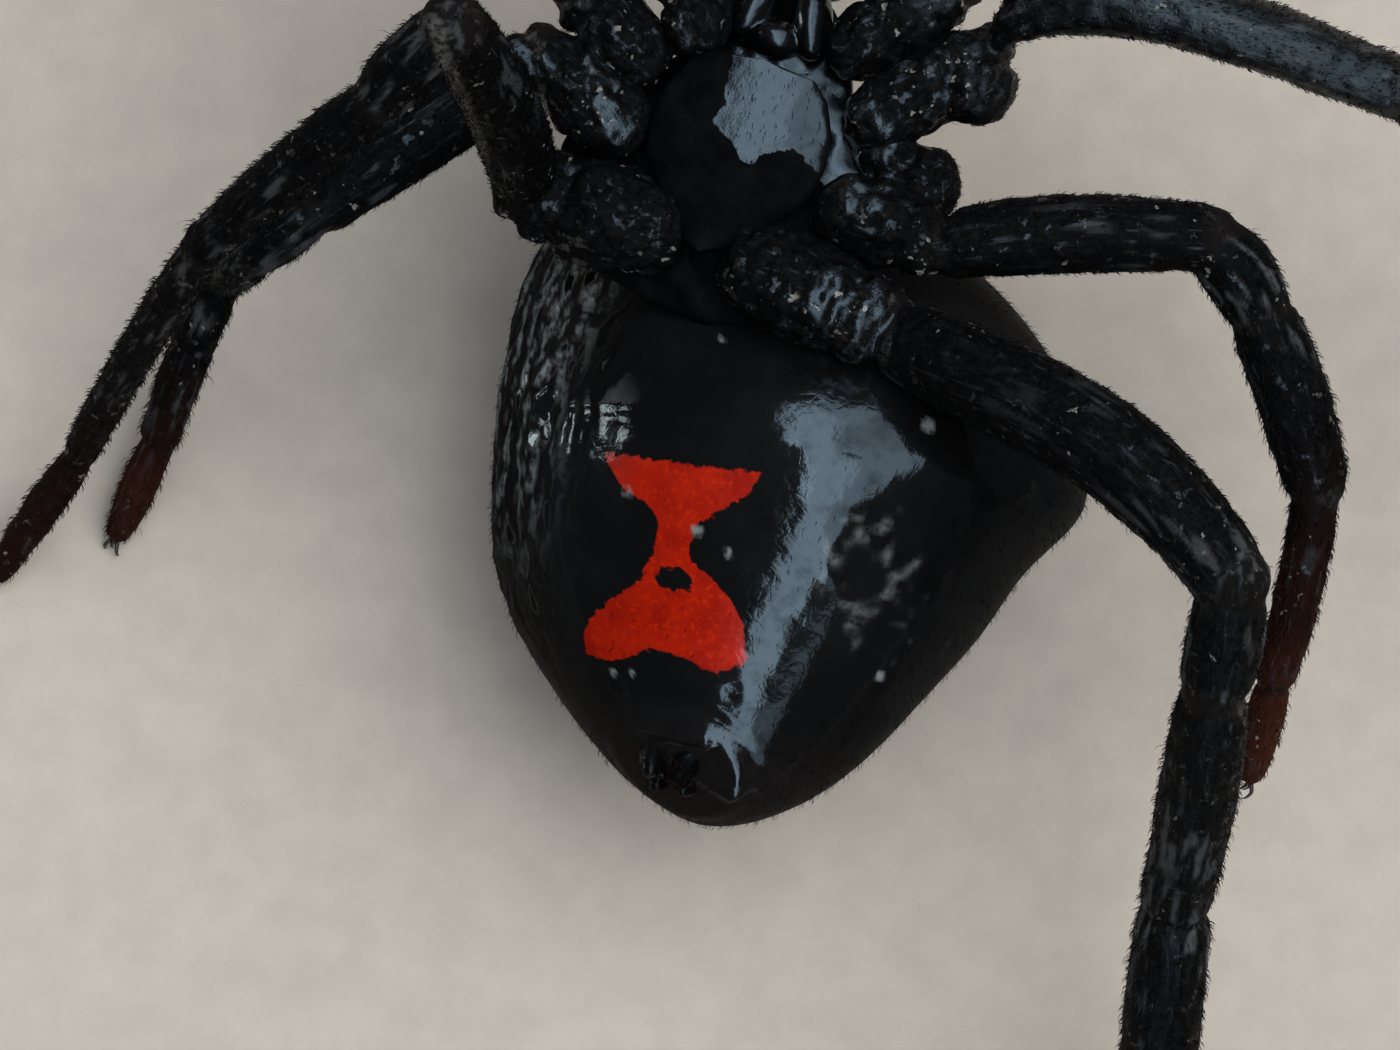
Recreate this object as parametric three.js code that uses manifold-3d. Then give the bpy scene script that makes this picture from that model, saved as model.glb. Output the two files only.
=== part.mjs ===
// Adult female black widow spider, life size, lying on her back with her legs spread.
// Millimetres, +Z up. Her head end points along +Y and her belly faces up, so her left side is +X.
import * as THREE from "three";
import { mergeVertices } from "three/addons/utils/BufferGeometryUtils.js";
import Module from "manifold-3d";

const wasm = await Module();
wasm.setup();
const { Manifold, Mesh: SolidMesh } = wasm;

// Driving dimensions
const gap = 0.1; // between touching pieces
const floorLevel = 0;
const abdomenHalfWidth = 3.86;
const abdomenHalfHeight = 3.08;
const abdomenFront = 3.5; // from the widest place to the front end
const abdomenRear = 4.8; // from the widest place to the rear end
const abdomenRearLift = 0.5; // how far the rear end rises towards the belly side
const abdomenFrontLean = 1.23; // how far the front end leans to her right
const abdomenRearLean = 0.36; // and the stretch before the rear end
const abdomenPlace = [1.14, 0.94, 3.0];
const abdomenTurn = { heading: 11.5, pitch: 0, roll: 25 };
const prosomaPlace = [0.37, 4.47, 5.72]; // middle of the sternum
const prosomaTurn = { heading: 19, pitch: -8, roll: 8 };
const sternumLength = 2.5;
const sternumHalfWidth = 1.12;
const sternumThickness = 0.72;
const carapaceLength = 4.3;
const carapaceHalfWidth = 1.95;
const headHalfWidth = 0.98;
const carapaceDepth = 1.25;
const carapaceRim = -0.92; // height of the rim below the sternum's face
const coxaLevel = -0.45; // height of the leg roots below the sternum's face
const hourglassLength = 2.35;
const hourglassHalfWidth = 1.02;
const hourglassNeck = 0.36; // half width of the neck
const hourglassShift = -0.12; // off the middle line, to her right
const hourglassTurn = 5; // degrees
const hourglassDepth = 0.5;
const tipRadius = 0.19; // rounded end of each leg
const flatDepth = 0.03; // how much the floor takes off what rests on it
const sharpBend = 32; // degrees past which a segment is cut clear of the one before it
const mergeDistance = 1e-5; // corners nearer than this are one corner

// Lengths of the leg segments of each pair, from the body outwards. Knee and shin, the patella and
// the tibia, are set stiffly together, so they make one piece.
const segmentNames = ["femur", "patella", "tibia", "metatarsus", "tarsus"];
const segmentLengths = {
  1: [7.1, 2.0, 5.7, 8.0, 2.8],
  2: [5.0, 1.6, 3.7, 5.4, 2.2],
  3: [3.3, 1.1, 2.4, 2.8, 1.5],
  4: [5.4, 1.5, 3.9, 5.9, 2.4],
};
const legThickness = { L1: 1.06, L2: 1, L3: 1, L4: 1.2, R1: 1.06, R2: 1, R3: 1, R4: 1.06 };
const stouter = { // segments that differ from the rest of their leg
  L3: { femur: 1.06, patella: 1.16, tibia: 1.2 },
  L4: { femur: 1.08, tibia: 1.08, metatarsus: 1.38 },
  R3: { femur: 1.05 },
  R4: { femur: 0.95, patella: 0.92, tibia: 0.84, metatarsus: 0.82 },
};
const coxaThickness = { 1: 0.9, 2: 0.95, 3: 1, 4: 1.25 };

// Where each leg leaves the body, in the body's own directions: root beside the sternum, then hip
const legRoots = {
  1: { root: [0.78, 1.62], hip: [1.9, 2.4] },
  2: { root: [1.26, 0.8], hip: [2.5, 1.0] },
  3: { root: [1.2, -0.12], hip: [2.68, -0.3] },
  4: { root: [0.32, -1.08], hip: [2.45, -1.38] },
};

// How far each hip has swung outwards and forwards from there
const hipSwing = {
  L1: [0, 0.5], L2: [0, 1.3], L3: [-0.03, 0.08], L4: [0, 0],
  R1: [0, 0.2], R2: [0, 0.45], R3: [0, 0.9], R4: [-0.15, 0.3],
};

// How far each femur bows out towards its knee's outer side, and the share of its length where
// it bows most
const femurBow = {
  L1: [0.2, 0.5], L2: [0.95, 0.31], L3: [0.1, 0.5], L4: [0.68, 0.62],
  R1: [0.2, 0.5], R2: [0.2, 0.5], R3: [0.1, 0.5], R4: [0.15, 0.5],
};

// Directions of each segment: azimuth from +X and elevation, in degrees.
// A metatarsus with no elevation takes the one that sets the leg's tip on the floor.
const legDirections = {
  L1: [[72, 26], [68, -10], [76, -30], [87], [97, -24]],
  L2: [[-6.5, 11], [-36, -10], [-52, -26], [-63], [-69, -24]],
  L3: [[1.5, 5], [-52.5, -17], [-70, -20], [-99, -28], [-101, -32]],
  L4: [[-37, 23], [-97, -29], [-95.3, -46], [-94.5], [-95, -24]],
  R1: [[104, 28], [105, -12], [103, -30], [96], [88, -23]],
  R2: [[122, 30], [132, -8], [143, -32], [149], [152, -30]],
  R3: [[-146.2, 2], [-146, -20], [-168, -78], [-114.5], [-115, -20]],
  R4: [[114, 71], [-139, -41], [-144, -44], [-129.5], [-128, -34]],
};

// Colours
const cuticle = new THREE.MeshStandardMaterial({ color: 0x0b0c10, roughness: 0.22, metalness: 0 });
const bodyPlate = new THREE.MeshStandardMaterial({ color: 0x120f10, roughness: 0.35, metalness: 0 });
const legTip = new THREE.MeshStandardMaterial({ color: 0x4a2212, roughness: 0.45, metalness: 0 });
const warningRed = new THREE.MeshStandardMaterial({ color: 0xc9230a, roughness: 0.4, metalness: 0 });
const eyeGloss = new THREE.MeshStandardMaterial({ color: 0x1c1a22, roughness: 0.08, metalness: 0 });

const radians = THREE.MathUtils.degToRad;

// Solids from three.js geometries, and back
function solidOf(geometry) {
  const bare = new THREE.BufferGeometry();
  bare.setAttribute("position", geometry.getAttribute("position").clone());
  if (geometry.index) bare.setIndex(geometry.index.clone());
  const merged = mergeVertices(bare, mergeDistance);
  const corners = [];
  for (let i = 0; i < merged.index.count; i += 3) {
    const [a, b, c] = [0, 1, 2].map((k) => merged.index.getX(i + k));
    if (a !== b && b !== c && c !== a) corners.push(a, b, c);
  }
  return new Manifold(new SolidMesh({
    numProp: 3,
    vertProperties: new Float32Array(merged.getAttribute("position").array),
    triVerts: new Uint32Array(corners),
  }));
}

function geometryOf(solid) {
  const mesh = solid.getMesh();
  const geometry = new THREE.BufferGeometry();
  geometry.setAttribute("position", new THREE.BufferAttribute(new Float32Array(mesh.vertProperties), 3));
  geometry.setIndex(new THREE.BufferAttribute(new Uint32Array(mesh.triVerts), 1));
  geometry.computeVertexNormals();
  return geometry;
}

const pointIn = (frame, x, y, z) => new THREE.Vector3(x, y, z).applyMatrix4(frame);
const moved = (solid, matrix) => solid.transform(matrix.elements);
const between = (from, to) => new THREE.Matrix4().copy(to).invert().multiply(from);
const largest = (solid) => solid.decompose().sort((a, b) => b.volume() - a.volume())[0];

// A solid in its own frame, cut clear of others that are listed with theirs
const clearOf = (solid, frame, others) => others.reduce(
  (rest, [other, otherFrame]) => rest.subtract(moved(other, between(otherFrame, frame))),
  solid,
);

// A frame whose Y leans from +Y by the heading, rises by the pitch and rolls about itself
function turnedFrame(place, { heading, pitch, roll }) {
  const turn = new THREE.Matrix4().makeRotationZ(-radians(heading));
  turn.multiply(new THREE.Matrix4().makeRotationX(radians(pitch)));
  turn.multiply(new THREE.Matrix4().makeRotationY(-radians(roll)));
  return turn.setPosition(...place);
}

// A frame whose Y runs along a direction and whose Z is as near as can be to the upper side's
function limbFrame(place, along, upper = new THREE.Vector3(0, 0, 1)) {
  const y = along.clone().normalize();
  const x = new THREE.Vector3().crossVectors(y, upper).normalize();
  const z = new THREE.Vector3().crossVectors(x, y);
  return new THREE.Matrix4().makeBasis(x, y, z).setPosition(place);
}

// Every piece is a solid in its own frame
const pieces = new Map();
function place(name, solid, frame, material) {
  pieces.set(name, { solid, frame, material });
}

// A lofted body along Y: rings of two half ellipses, rounded off to a point at both ends.
// Its detail is the count of stations from end to end and of points around.
function loft(sectionAt, stations, around) {
  const points = [];
  const faces = [];
  for (let i = 0; i <= stations; i += 1) {
    const along = -Math.cos((Math.PI * i) / stations);
    const section = sectionAt(along);
    const count = i === 0 || i === stations ? 1 : around;
    for (let k = 0; k < count; k += 1) {
      const angle = (2 * Math.PI * k) / around;
      const side = (section.lean ?? 0) + (count === 1 ? 0 : section.half * Math.cos(angle));
      const rise = Math.sin(angle) * (Math.sin(angle) > 0 ? section.up : section.down);
      points.push(side, section.y, section.middle + (count === 1 ? 0 : rise));
    }
  }
  const ring = (i, k) => 1 + (i - 1) * around + (k % around);
  const last = points.length / 3 - 1;
  for (let k = 0; k < around; k += 1) {
    faces.push(0, ring(1, k), ring(1, k + 1));
    faces.push(last, ring(stations - 1, k + 1), ring(stations - 1, k));
    for (let i = 1; i < stations - 1; i += 1) {
      faces.push(ring(i, k), ring(i + 1, k), ring(i + 1, k + 1));
      faces.push(ring(i, k), ring(i + 1, k + 1), ring(i, k + 1));
    }
  }
  const geometry = new THREE.BufferGeometry();
  geometry.setAttribute("position", new THREE.Float32BufferAttribute(points, 3));
  geometry.setIndex(faces);
  return geometry;
}

// A turned body along Y from pairs of place and radius. Its near end is flat or a hollow cup round
// the joint before it, its far end is flat or a ball, and it may bow slightly upwards.
function turned(profile, { bow = 0, peak = 0.5, around = 10, grow = 0, domed = true, cup = 0 } = {}) {
  const [endY, endRadius] = profile[profile.length - 1];
  const points = profile.map(([y, radius]) => new THREE.Vector2(radius + grow, y));
  if (cup > 0) {
    const rim = Math.min(points[0].x, 0.93 * cup);
    const onCup = (radius) => new THREE.Vector2(radius, Math.sqrt(cup * cup - radius * radius));
    points.splice(0, 1, onCup(0), onCup(0.6 * rim), onCup(rim));
  } else {
    points[0].y -= grow;
    points.unshift(new THREE.Vector2(0, points[0].y));
  }
  if (domed) {
    const radius = endRadius + grow;
    points.push(new THREE.Vector2(radius * Math.SQRT1_2, endY + radius * Math.SQRT1_2));
    points.push(new THREE.Vector2(0, endY + radius));
  } else {
    points[points.length - 1].y += grow;
    points.push(new THREE.Vector2(0, endY + grow));
  }
  const geometry = new THREE.LatheGeometry(points, around);
  const position = geometry.getAttribute("position");
  const skew = Math.log(0.5) / Math.log(peak);
  for (let i = 0; i < position.count; i += 1) {
    const share = THREE.MathUtils.clamp(position.getY(i) / endY, 0, 1) ** skew;
    position.setZ(i, position.getZ(i) + bow * Math.sin(Math.PI * share));
  }
  return geometry;
}

const ballDetail = [12, 6]; // faces around and from pole to pole
const ball = (radius) => solidOf(new THREE.SphereGeometry(radius, ...ballDetail));
const ellipsoid = (x, y, z, sx, sy, sz) => {
  const geometry = new THREE.SphereGeometry(1, ...ballDetail).scale(sx, sy, sz);
  return solidOf(geometry.translate(x, y, z));
};

const prosomaFrame = turnedFrame(prosomaPlace, prosomaTurn);
const abdomenFrame = turnedFrame(abdomenPlace, abdomenTurn);
const sides = { L: 1, R: -1 };

// Thickness along each segment as shares of its length, with the radius of the ball it ends in
const segmentShapes = {
  femur: { profile: [[0, 0.33], [0.1, 0.4], [0.3, 0.46], [0.6, 0.46], [0.85, 0.43], [1, 0.37]] },
  patella: { profile: [[0, 0.35], [0.3, 0.39], [0.7, 0.4], [1, 0.33]], bow: 0.05 },
  tibia: { profile: [[0, 0.32], [0.12, 0.37], [0.5, 0.39], [0.85, 0.36], [1, 0.3]], bow: 0.06 },
  metatarsus: { profile: [[0, 0.29], [0.1, 0.31], [0.5, 0.3], [0.9, 0.28], [1, 0.25]], bow: 0.08 },
  tarsus: { profile: [[0, 0.245], [0.3, 0.26], [0.7, 0.25], [1, tipRadius]], bow: 0.0 },
};

function segmentSolid(name, length, thickness, options) {
  const sized = segmentShapes[name].profile.map(([share, radius]) => [share * length, radius * thickness]);
  return solidOf(turned(sized, options));
}

// Hip segment and trochanter in one, from beside the sternum out to the hip's ball
const coxaProfile = [
  [0, 0.3], [0.06, 0.4], [0.22, 0.48], [0.5, 0.52], [0.66, 0.5], [0.74, 0.43], [0.82, 0.47], [1, 0.38],
];
function coxaSolid(length, thickness, grow = 0) {
  const sized = coxaProfile.map(([share, radius], i) =>
    [share * length, radius * (i + 1 < coxaProfile.length ? thickness : 1)]);
  return solidOf(turned(sized, { grow }));
}

const direction = (azimuth, elevation) => new THREE.Vector3(
  Math.cos(radians(elevation)) * Math.cos(radians(azimuth)),
  Math.cos(radians(elevation)) * Math.sin(radians(azimuth)),
  Math.sin(radians(elevation)),
);

// The elevation that lets a metatarsus and its tarsus end on the floor
function elevationToFloor(from, length, tarsusLength, tarsusElevation) {
  const tip = floorLevel + tipRadius - flatDepth;
  const drop = tip - from.z - tarsusLength * Math.sin(radians(tarsusElevation));
  return THREE.MathUtils.radToDeg(Math.asin(THREE.MathUtils.clamp(drop / length, -1, 1)));
}

// Sternum: a heart-shaped plate between the leg roots
function sternumOutline(grow = 0) {
  const half = sternumHalfWidth + grow;
  const front = sternumLength / 2 + grow;
  const shape = new THREE.Shape();
  shape.moveTo(0, -front);
  shape.bezierCurveTo(0.3 * half, -front, 0.95 * half, -0.4 * front, half, 0.1 * front);
  shape.bezierCurveTo(half, 0.6 * front, 0.75 * half, front, 0.5 * half, front);
  shape.lineTo(-0.5 * half, front);
  shape.bezierCurveTo(-0.75 * half, front, -half, 0.6 * front, -half, 0.1 * front);
  shape.bezierCurveTo(-0.95 * half, -0.4 * front, -0.3 * half, -front, 0, -front);
  return shape;
}
const bevel = 0.14;
const sternumGeometry = new THREE.ExtrudeGeometry(sternumOutline(-bevel), {
  depth: sternumThickness - 2 * bevel,
  bevelSize: bevel,
  bevelThickness: bevel,
  bevelSegments: 2,
  curveSegments: 5,
}).translate(0, 0, bevel - sternumThickness);
const sternumClear = solidOf(new THREE.ExtrudeGeometry(sternumOutline(gap), {
  depth: sternumThickness + 2 * gap,
  bevelEnabled: false,
  curveSegments: 5,
}).translate(0, 0, -sternumThickness - gap));
place("sternum", solidOf(sternumGeometry), prosomaFrame, bodyPlate);

// Carapace: the back plate, with a raised narrow head and a wide hind part
const carapaceRear = -carapaceLength * 0.44;
function carapaceSection(along, grow = 0) {
  const share = (along + 1) / 2;
  const head = THREE.MathUtils.smoothstep(share, 0.42, 0.78);
  const blunt = Math.pow(Math.max(0, 1 - Math.pow(Math.abs(along), 3.2)), 0.5);
  const wide = THREE.MathUtils.lerp(carapaceHalfWidth, headHalfWidth, head);
  const deep = carapaceDepth * (0.82 + 0.18 * head);
  return {
    y: carapaceRear + carapaceLength * share + grow * along,
    half: wide * blunt + grow,
    up: 0.1 * blunt + grow,
    down: deep * Math.pow(Math.max(0, 1 - Math.pow(Math.abs(along), 2.4)), 0.6) + grow,
    middle: carapaceRim,
  };
}
const carapaceDetail = [16, 24];
const carapaceClear = solidOf(loft((along) => carapaceSection(along, gap), ...carapaceDetail));
let carapace = solidOf(loft((along) => carapaceSection(along), ...carapaceDetail));

// Everything of one leg, with grown copies that keep its neighbours clear
const plates = [[sternumClear, prosomaFrame], [carapaceClear, prosomaFrame]];
const grownCoxae = [];
const grownFemora = [];
function buildLeg(name) {
  const pair = name[1];
  const side = sides[name[0]];
  const { root, hip } = legRoots[pair];
  const [out, forward] = hipSwing[name];
  const rootPoint = pointIn(prosomaFrame, side * root[0], root[1], coxaLevel);
  const hipPoint = pointIn(prosomaFrame, side * (hip[0] + out), hip[1] + forward, coxaLevel);
  const coxaFrame = limbFrame(rootPoint, hipPoint.clone().sub(rootPoint));
  const coxaLength = rootPoint.distanceTo(hipPoint);
  const coxaGrown = coxaSolid(coxaLength, coxaThickness[pair], gap);
  const coxa = clearOf(coxaSolid(coxaLength, coxaThickness[pair]), coxaFrame, [...plates, ...grownCoxae]);
  place(`leg_${name}_coxa`, largest(coxa), coxaFrame, bodyPlate);
  grownCoxae.push([coxaGrown, coxaFrame]);
  const lengths = segmentLengths[pair];
  let joint = hipPoint;
  let before = { grown: coxaGrown, frame: coxaFrame, ball: coxaProfile.at(-1)[1] };
  let along = hipPoint.clone().sub(rootPoint).normalize();
  const upper = direction(...legDirections[name][0]).sub(direction(...legDirections[name][2])); // at the knee
  segmentNames.forEach((segment, i) => {
    const [azimuth, given] = legDirections[name][i];
    const elevation = given ?? elevationToFloor(joint, lengths[i], lengths[4], legDirections[name][4][1]);
    const bend = THREE.MathUtils.radToDeg(along.angleTo(direction(azimuth, elevation)));
    along = direction(azimuth, elevation);
    const frame = limbFrame(joint, along, upper);
    const joined = segment === "tibia";
    const node = `leg_${name}_${segment === "patella" ? "patella_tibia" : segment}`;
    const cup = joined ? 0 : before.ball + gap;
    const [bow, peak] = segment === "femur" ? femurBow[name] : [segmentShapes[segment].bow, 0.5];
    const thickness = segment === "tarsus" ? 1 : legThickness[name] * (stouter[name]?.[segment] ?? 1);
    let solid = segmentSolid(segment, lengths[i], thickness, { bow, peak, cup });
    const grown = segmentSolid(segment, lengths[i], thickness, { bow, peak, grow: gap });
    if (bend > sharpBend && !joined) {
      solid = clearOf(solid, frame, [[before.grown, before.frame]]);
    }
    if (joined) {
      const knee = pieces.get(`leg_${name}_patella_tibia`);
      knee.solid = knee.solid.add(moved(solid, between(frame, knee.frame)));
    } else {
      place(node, solid, frame, segment === "tarsus" ? legTip : cuticle);
    }
    if (segment === "femur") grownFemora.push([grown, frame]);
    joint = joint.clone().addScaledVector(along, lengths[i]);
    before = { grown, frame, ball: segmentShapes[segment].profile.at(-1)[1] * thickness };
  });
}
Object.keys(legDirections).forEach(buildLeg);

// Eyes: two rows of four on the front of the head
const eyeRadius = 0.13;
const eyeRows = [
  { rise: -1.3, spread: [0.2, 0.56] },
  { rise: -1.68, spread: [0.19, 0.5] },
];
const headFront = carapaceRear + carapaceLength;
eyeRows.forEach(({ rise, spread }, row) => {
  spread.forEach((offset, rank) => {
    Object.entries(sides).forEach(([side, sign]) => {
      const start = new THREE.Vector3(sign * offset, headFront + 1, rise);
      const spot = surfacePoint(start, rise, sign * offset);
      carapace = carapace.subtract(ball(eyeRadius + gap / 2).translate(spot));
      const frame = prosomaFrame.clone().multiply(new THREE.Matrix4().setPosition(...spot));
      const name = `eye_${side}_${row === 0 ? "front" : "rear"}_${rank === 0 ? "middle" : "outer"}`;
      place(name, ball(eyeRadius), frame, eyeGloss);
    });
  });
});

// The front-most place of the carapace at a given height and side
function surfacePoint(start, rise, offset) {
  for (let along = 0.995; along > 0; along -= 0.005) {
    const { y, half, down, middle } = carapaceSection(along);
    if ((offset / half) ** 2 + ((rise - middle) / down) ** 2 < 1) return [offset, y - 0.03, rise];
  }
  return start.toArray();
}
place("carapace", largest(carapace), prosomaFrame, cuticle);

// Mouth plates between the front legs: lip and the two jaws beside it
const lip = ellipsoid(0, 1.62, -0.42, 0.34, 0.24, 0.3);
const jawPlates = [1, -1].map((sign) => {
  const plate = ellipsoid(0, 0, 0, 0.26, 0.52, 0.33).rotate([0, 0, sign * 16]);
  return plate.translate([sign * 0.34, 1.98, -0.42]);
});
const mouthparts = clearOf(lip.add(jawPlates[0]).add(jawPlates[1]), prosomaFrame, grownCoxae);
place("mouthparts", largest(mouthparts), prosomaFrame, bodyPlate);

// Jaws with their fangs, and the short feelers beside them
function chain(points, radii, around = 8) {
  let whole = null;
  for (let i = 0; i + 1 < points.length; i += 1) {
    const length = points[i].distanceTo(points[i + 1]);
    const frame = limbFrame(points[i], points[i + 1].clone().sub(points[i]));
    const link = solidOf(turned([[-0.6 * radii[i], 0.6 * radii[i]], [0, radii[i]], [length * 0.5,
      0.5 * (radii[i] + radii[i + 1]) * 1.04], [length, radii[i + 1]]], { around }));
    const here = moved(link, frame);
    whole = whole ? whole.add(here) : here;
  }
  return whole;
}
const world = new THREE.Matrix4();
const fromWorld = between(world, prosomaFrame);
const jawPoints = [[0.33, 2.62, -1.12], [0.32, 2.86, -0.62], [0.3, 2.9, -0.22]];
const jawRadii = [0.25, 0.27, 0.2];
const fangPoints = [[0.3, 2.9, -0.2], [0.26, 2.72, 0.0], [0.2, 2.5, -0.02]];
const fangRadii = [0.11, 0.08, 0.03];
const feelerPoints = [
  [0.72, 2.72, -0.42], [1.06, 3.4, -0.2], [1.1, 3.85, -0.3], [1, 4.4, -0.6], [0.84, 5.2, -1.05],
];
const feelerRadii = [0.24, 0.25, 0.25, 0.25, 0.15];
Object.entries(sides).forEach(([side, sign]) => {
  const onSide = ([x, y, z]) => pointIn(prosomaFrame, sign * x, y, z);
  const jaw = chain(jawPoints.map(onSide), jawRadii).add(chain(fangPoints.map(onSide), fangRadii, 6));
  place(`chelicera_${side}`, largest(moved(jaw, fromWorld).subtract(carapaceClear)), prosomaFrame, cuticle);
  const feeler = moved(chain(feelerPoints.map(onSide), feelerRadii), fromWorld);
  place(`pedipalp_${side}`, largest(feeler), prosomaFrame, cuticle);
});

// Abdomen: a tall globe that narrows towards the spinnerets
const fullness = (along, power, root) => Math.pow(Math.max(0, 1 - Math.pow(Math.abs(along), power)), root);
function abdomenSection(along, shrink = 0) {
  const rear = along < 0;
  return {
    y: (rear ? abdomenRear - shrink : abdomenFront - shrink) * along,
    half: (abdomenHalfWidth - shrink) * (rear ? fullness(along, 1.35, 0.58) : fullness(along, 2.3, 0.5)),
    up: (abdomenHalfHeight - shrink) * (rear ? fullness(along, 1.8, 0.6) : fullness(along, 1.35, 0.74)),
    down: (abdomenHalfHeight - shrink) * (rear ? fullness(along, 1.5, 0.56) : fullness(along, 2, 0.5)),
    lean: rear ? -abdomenRearLean * Math.sin(Math.PI * along) ** 2 : -abdomenFrontLean * along ** 1.5,
    middle: rear ? abdomenRearLift * along * along : 0,
  };
}
const globeDetail = [26, 36];
const innerDetail = [22, 32];
const globe = solidOf(loft((along) => abdomenSection(along), ...globeDetail));
const globeUnder = (depth) => solidOf(loft((along) => abdomenSection(along, depth), ...innerDetail));

// Hourglass mark: a red inlay as deep as its own piece, following the belly's curve
const hourglassTop = -0.4; // along the abdomen, from its widest place
function hourglassPrism(grow) {
  const half = hourglassHalfWidth + grow;
  const neck = hourglassNeck + grow;
  const top = hourglassTop + grow;
  const bottom = hourglassTop - hourglassLength - grow;
  const waist = hourglassTop - hourglassLength * 0.5;
  const shape = new THREE.Shape();
  shape.moveTo(-half, top);
  shape.lineTo(half, top);
  shape.quadraticCurveTo(neck, waist + 0.45, neck, waist);
  shape.quadraticCurveTo(neck, waist - 0.5, half, bottom + 0.25);
  shape.lineTo(half * 0.86, bottom);
  shape.lineTo(-half * 0.86, bottom);
  shape.lineTo(-half, bottom + 0.25);
  shape.quadraticCurveTo(-neck, waist - 0.5, -neck, waist);
  shape.quadraticCurveTo(-neck, waist + 0.45, -half, top);
  const depth = abdomenHalfHeight + 1;
  const prism = new THREE.ExtrudeGeometry(shape, { depth, bevelEnabled: false, curveSegments: 6 });
  const centre = hourglassTop - hourglassLength / 2;
  prism.translate(0, -centre, 0).rotateZ(radians(hourglassTurn)).translate(hourglassShift, centre, 0);
  return solidOf(prism);
}
const hourglass = hourglassPrism(0).intersect(globe).subtract(globeUnder(hourglassDepth));
place("hourglass", largest(hourglass), abdomenFrame, warningRed);

// Spinnerets: a short ring with three pairs of cones, set into the rear end
const spinneretPlace = new THREE.Vector3(0, -4.02, 1.42);
const spinneretAxis = new THREE.Vector3(0, -0.74, 0.67);
const spinneretFrame = limbFrame(spinneretPlace, spinneretAxis);
const ringRadius = 0.6;
const ringProfile = [
  [-0.5, ringRadius * 0.8], [0, ringRadius], [0.22, ringRadius * 0.92], [0.3, ringRadius * 0.7],
];
let spinnerets = solidOf(turned(ringProfile, { around: 16, domed: false }));
const conePairs = [
  { out: 0.27, up: 0.24, length: 0.46, radius: 0.19 },
  { out: 0.16, up: 0.0, length: 0.3, radius: 0.12 },
  { out: 0.25, up: -0.24, length: 0.4, radius: 0.16 },
];
conePairs.forEach(({ out, up, length, radius }) => {
  [1, -1].forEach((sign) => {
    const cone = new THREE.CylinderGeometry(radius * 0.45, radius, length, 8);
    cone.translate(sign * out, 0.2 + length / 2, up);
    spinnerets = spinnerets.add(solidOf(cone));
  });
});
place("spinnerets", largest(spinnerets), abdomenFrame.clone().multiply(spinneretFrame), bodyPlate);
const spinneretSeat = moved(solidOf(turned([[-0.5, ringRadius * 0.8], [0, ringRadius], [1.2, ringRadius]],
  { around: 16, grow: gap, domed: false })), spinneretFrame);

// Pedicel: the short waist between the two halves of the body
const pedicelRadius = 0.3;
const waistFrom = pointIn(prosomaFrame, 0, -1.28, -0.8);
const waistTo = pointIn(abdomenFrame, -0.62, 1.2, 1.85);
const pedicelFrame = limbFrame(waistFrom, waistTo.clone().sub(waistFrom));
const pedicelLength = waistFrom.distanceTo(waistTo);
const pedicelProfile = [
  [0, pedicelRadius * 0.8], [pedicelLength * 0.4, pedicelRadius], [pedicelLength, pedicelRadius],
];
const pedicel = clearOf(solidOf(turned(pedicelProfile, { domed: false })), pedicelFrame,
  [...plates, ...grownCoxae]);
place("pedicel", largest(pedicel), pedicelFrame, cuticle);

// The abdomen makes room for the inlay, the spinnerets, the waist and the legs that lie over it
const pedicelSeat = solidOf(turned(pedicelProfile, { domed: false, grow: gap }));
const carved = globe
  .subtract(hourglassPrism(1.4 * gap).subtract(globeUnder(hourglassDepth + gap)))
  .subtract(spinneretSeat);
const abdomen = clearOf(carved, abdomenFrame,
  [[pedicelSeat, pedicelFrame], [carapaceClear, prosomaFrame], ...grownCoxae, ...grownFemora]);
place("abdomen", largest(abdomen), abdomenFrame, cuticle);

// What reaches the floor is cut flat there
const floorSpan = 120;
const floorDepth = 20;
const floorBlock = solidOf(new THREE.BoxGeometry(floorSpan, floorSpan, floorDepth)
  .translate(0, 0, floorLevel - floorDepth / 2));
function rest(name) {
  const piece = pieces.get(name);
  const block = moved(floorBlock, between(world, piece.frame));
  piece.solid = largest(piece.solid.subtract(block));
}
rest("abdomen");
Object.keys(legDirections).forEach((name) => rest(`leg_${name}_tarsus`));

// The scene: each piece is a mesh at its own place and turn
const spider = new THREE.Group();
const box = new THREE.Box3();
pieces.forEach(({ solid, frame, material }, name) => {
  const mesh = new THREE.Mesh(geometryOf(solid), material);
  mesh.name = name;
  frame.decompose(mesh.position, mesh.quaternion, mesh.scale);
  spider.add(mesh);
  mesh.updateMatrixWorld();
  box.expandByObject(mesh, true);
});

// The origin is below the middle of the spider, on the floor
const middle = box.getCenter(new THREE.Vector3());
spider.position.set(-middle.x, -middle.y, -box.min.z);

export default spider;
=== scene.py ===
# Black widow spider on her back, life size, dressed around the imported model.
# Shapes are worked out in millimetres from the camera's axis, and moved to the frame at the end.
import math

import bpy
import numpy as np
from mathutils import Matrix, Vector, noise


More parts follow.
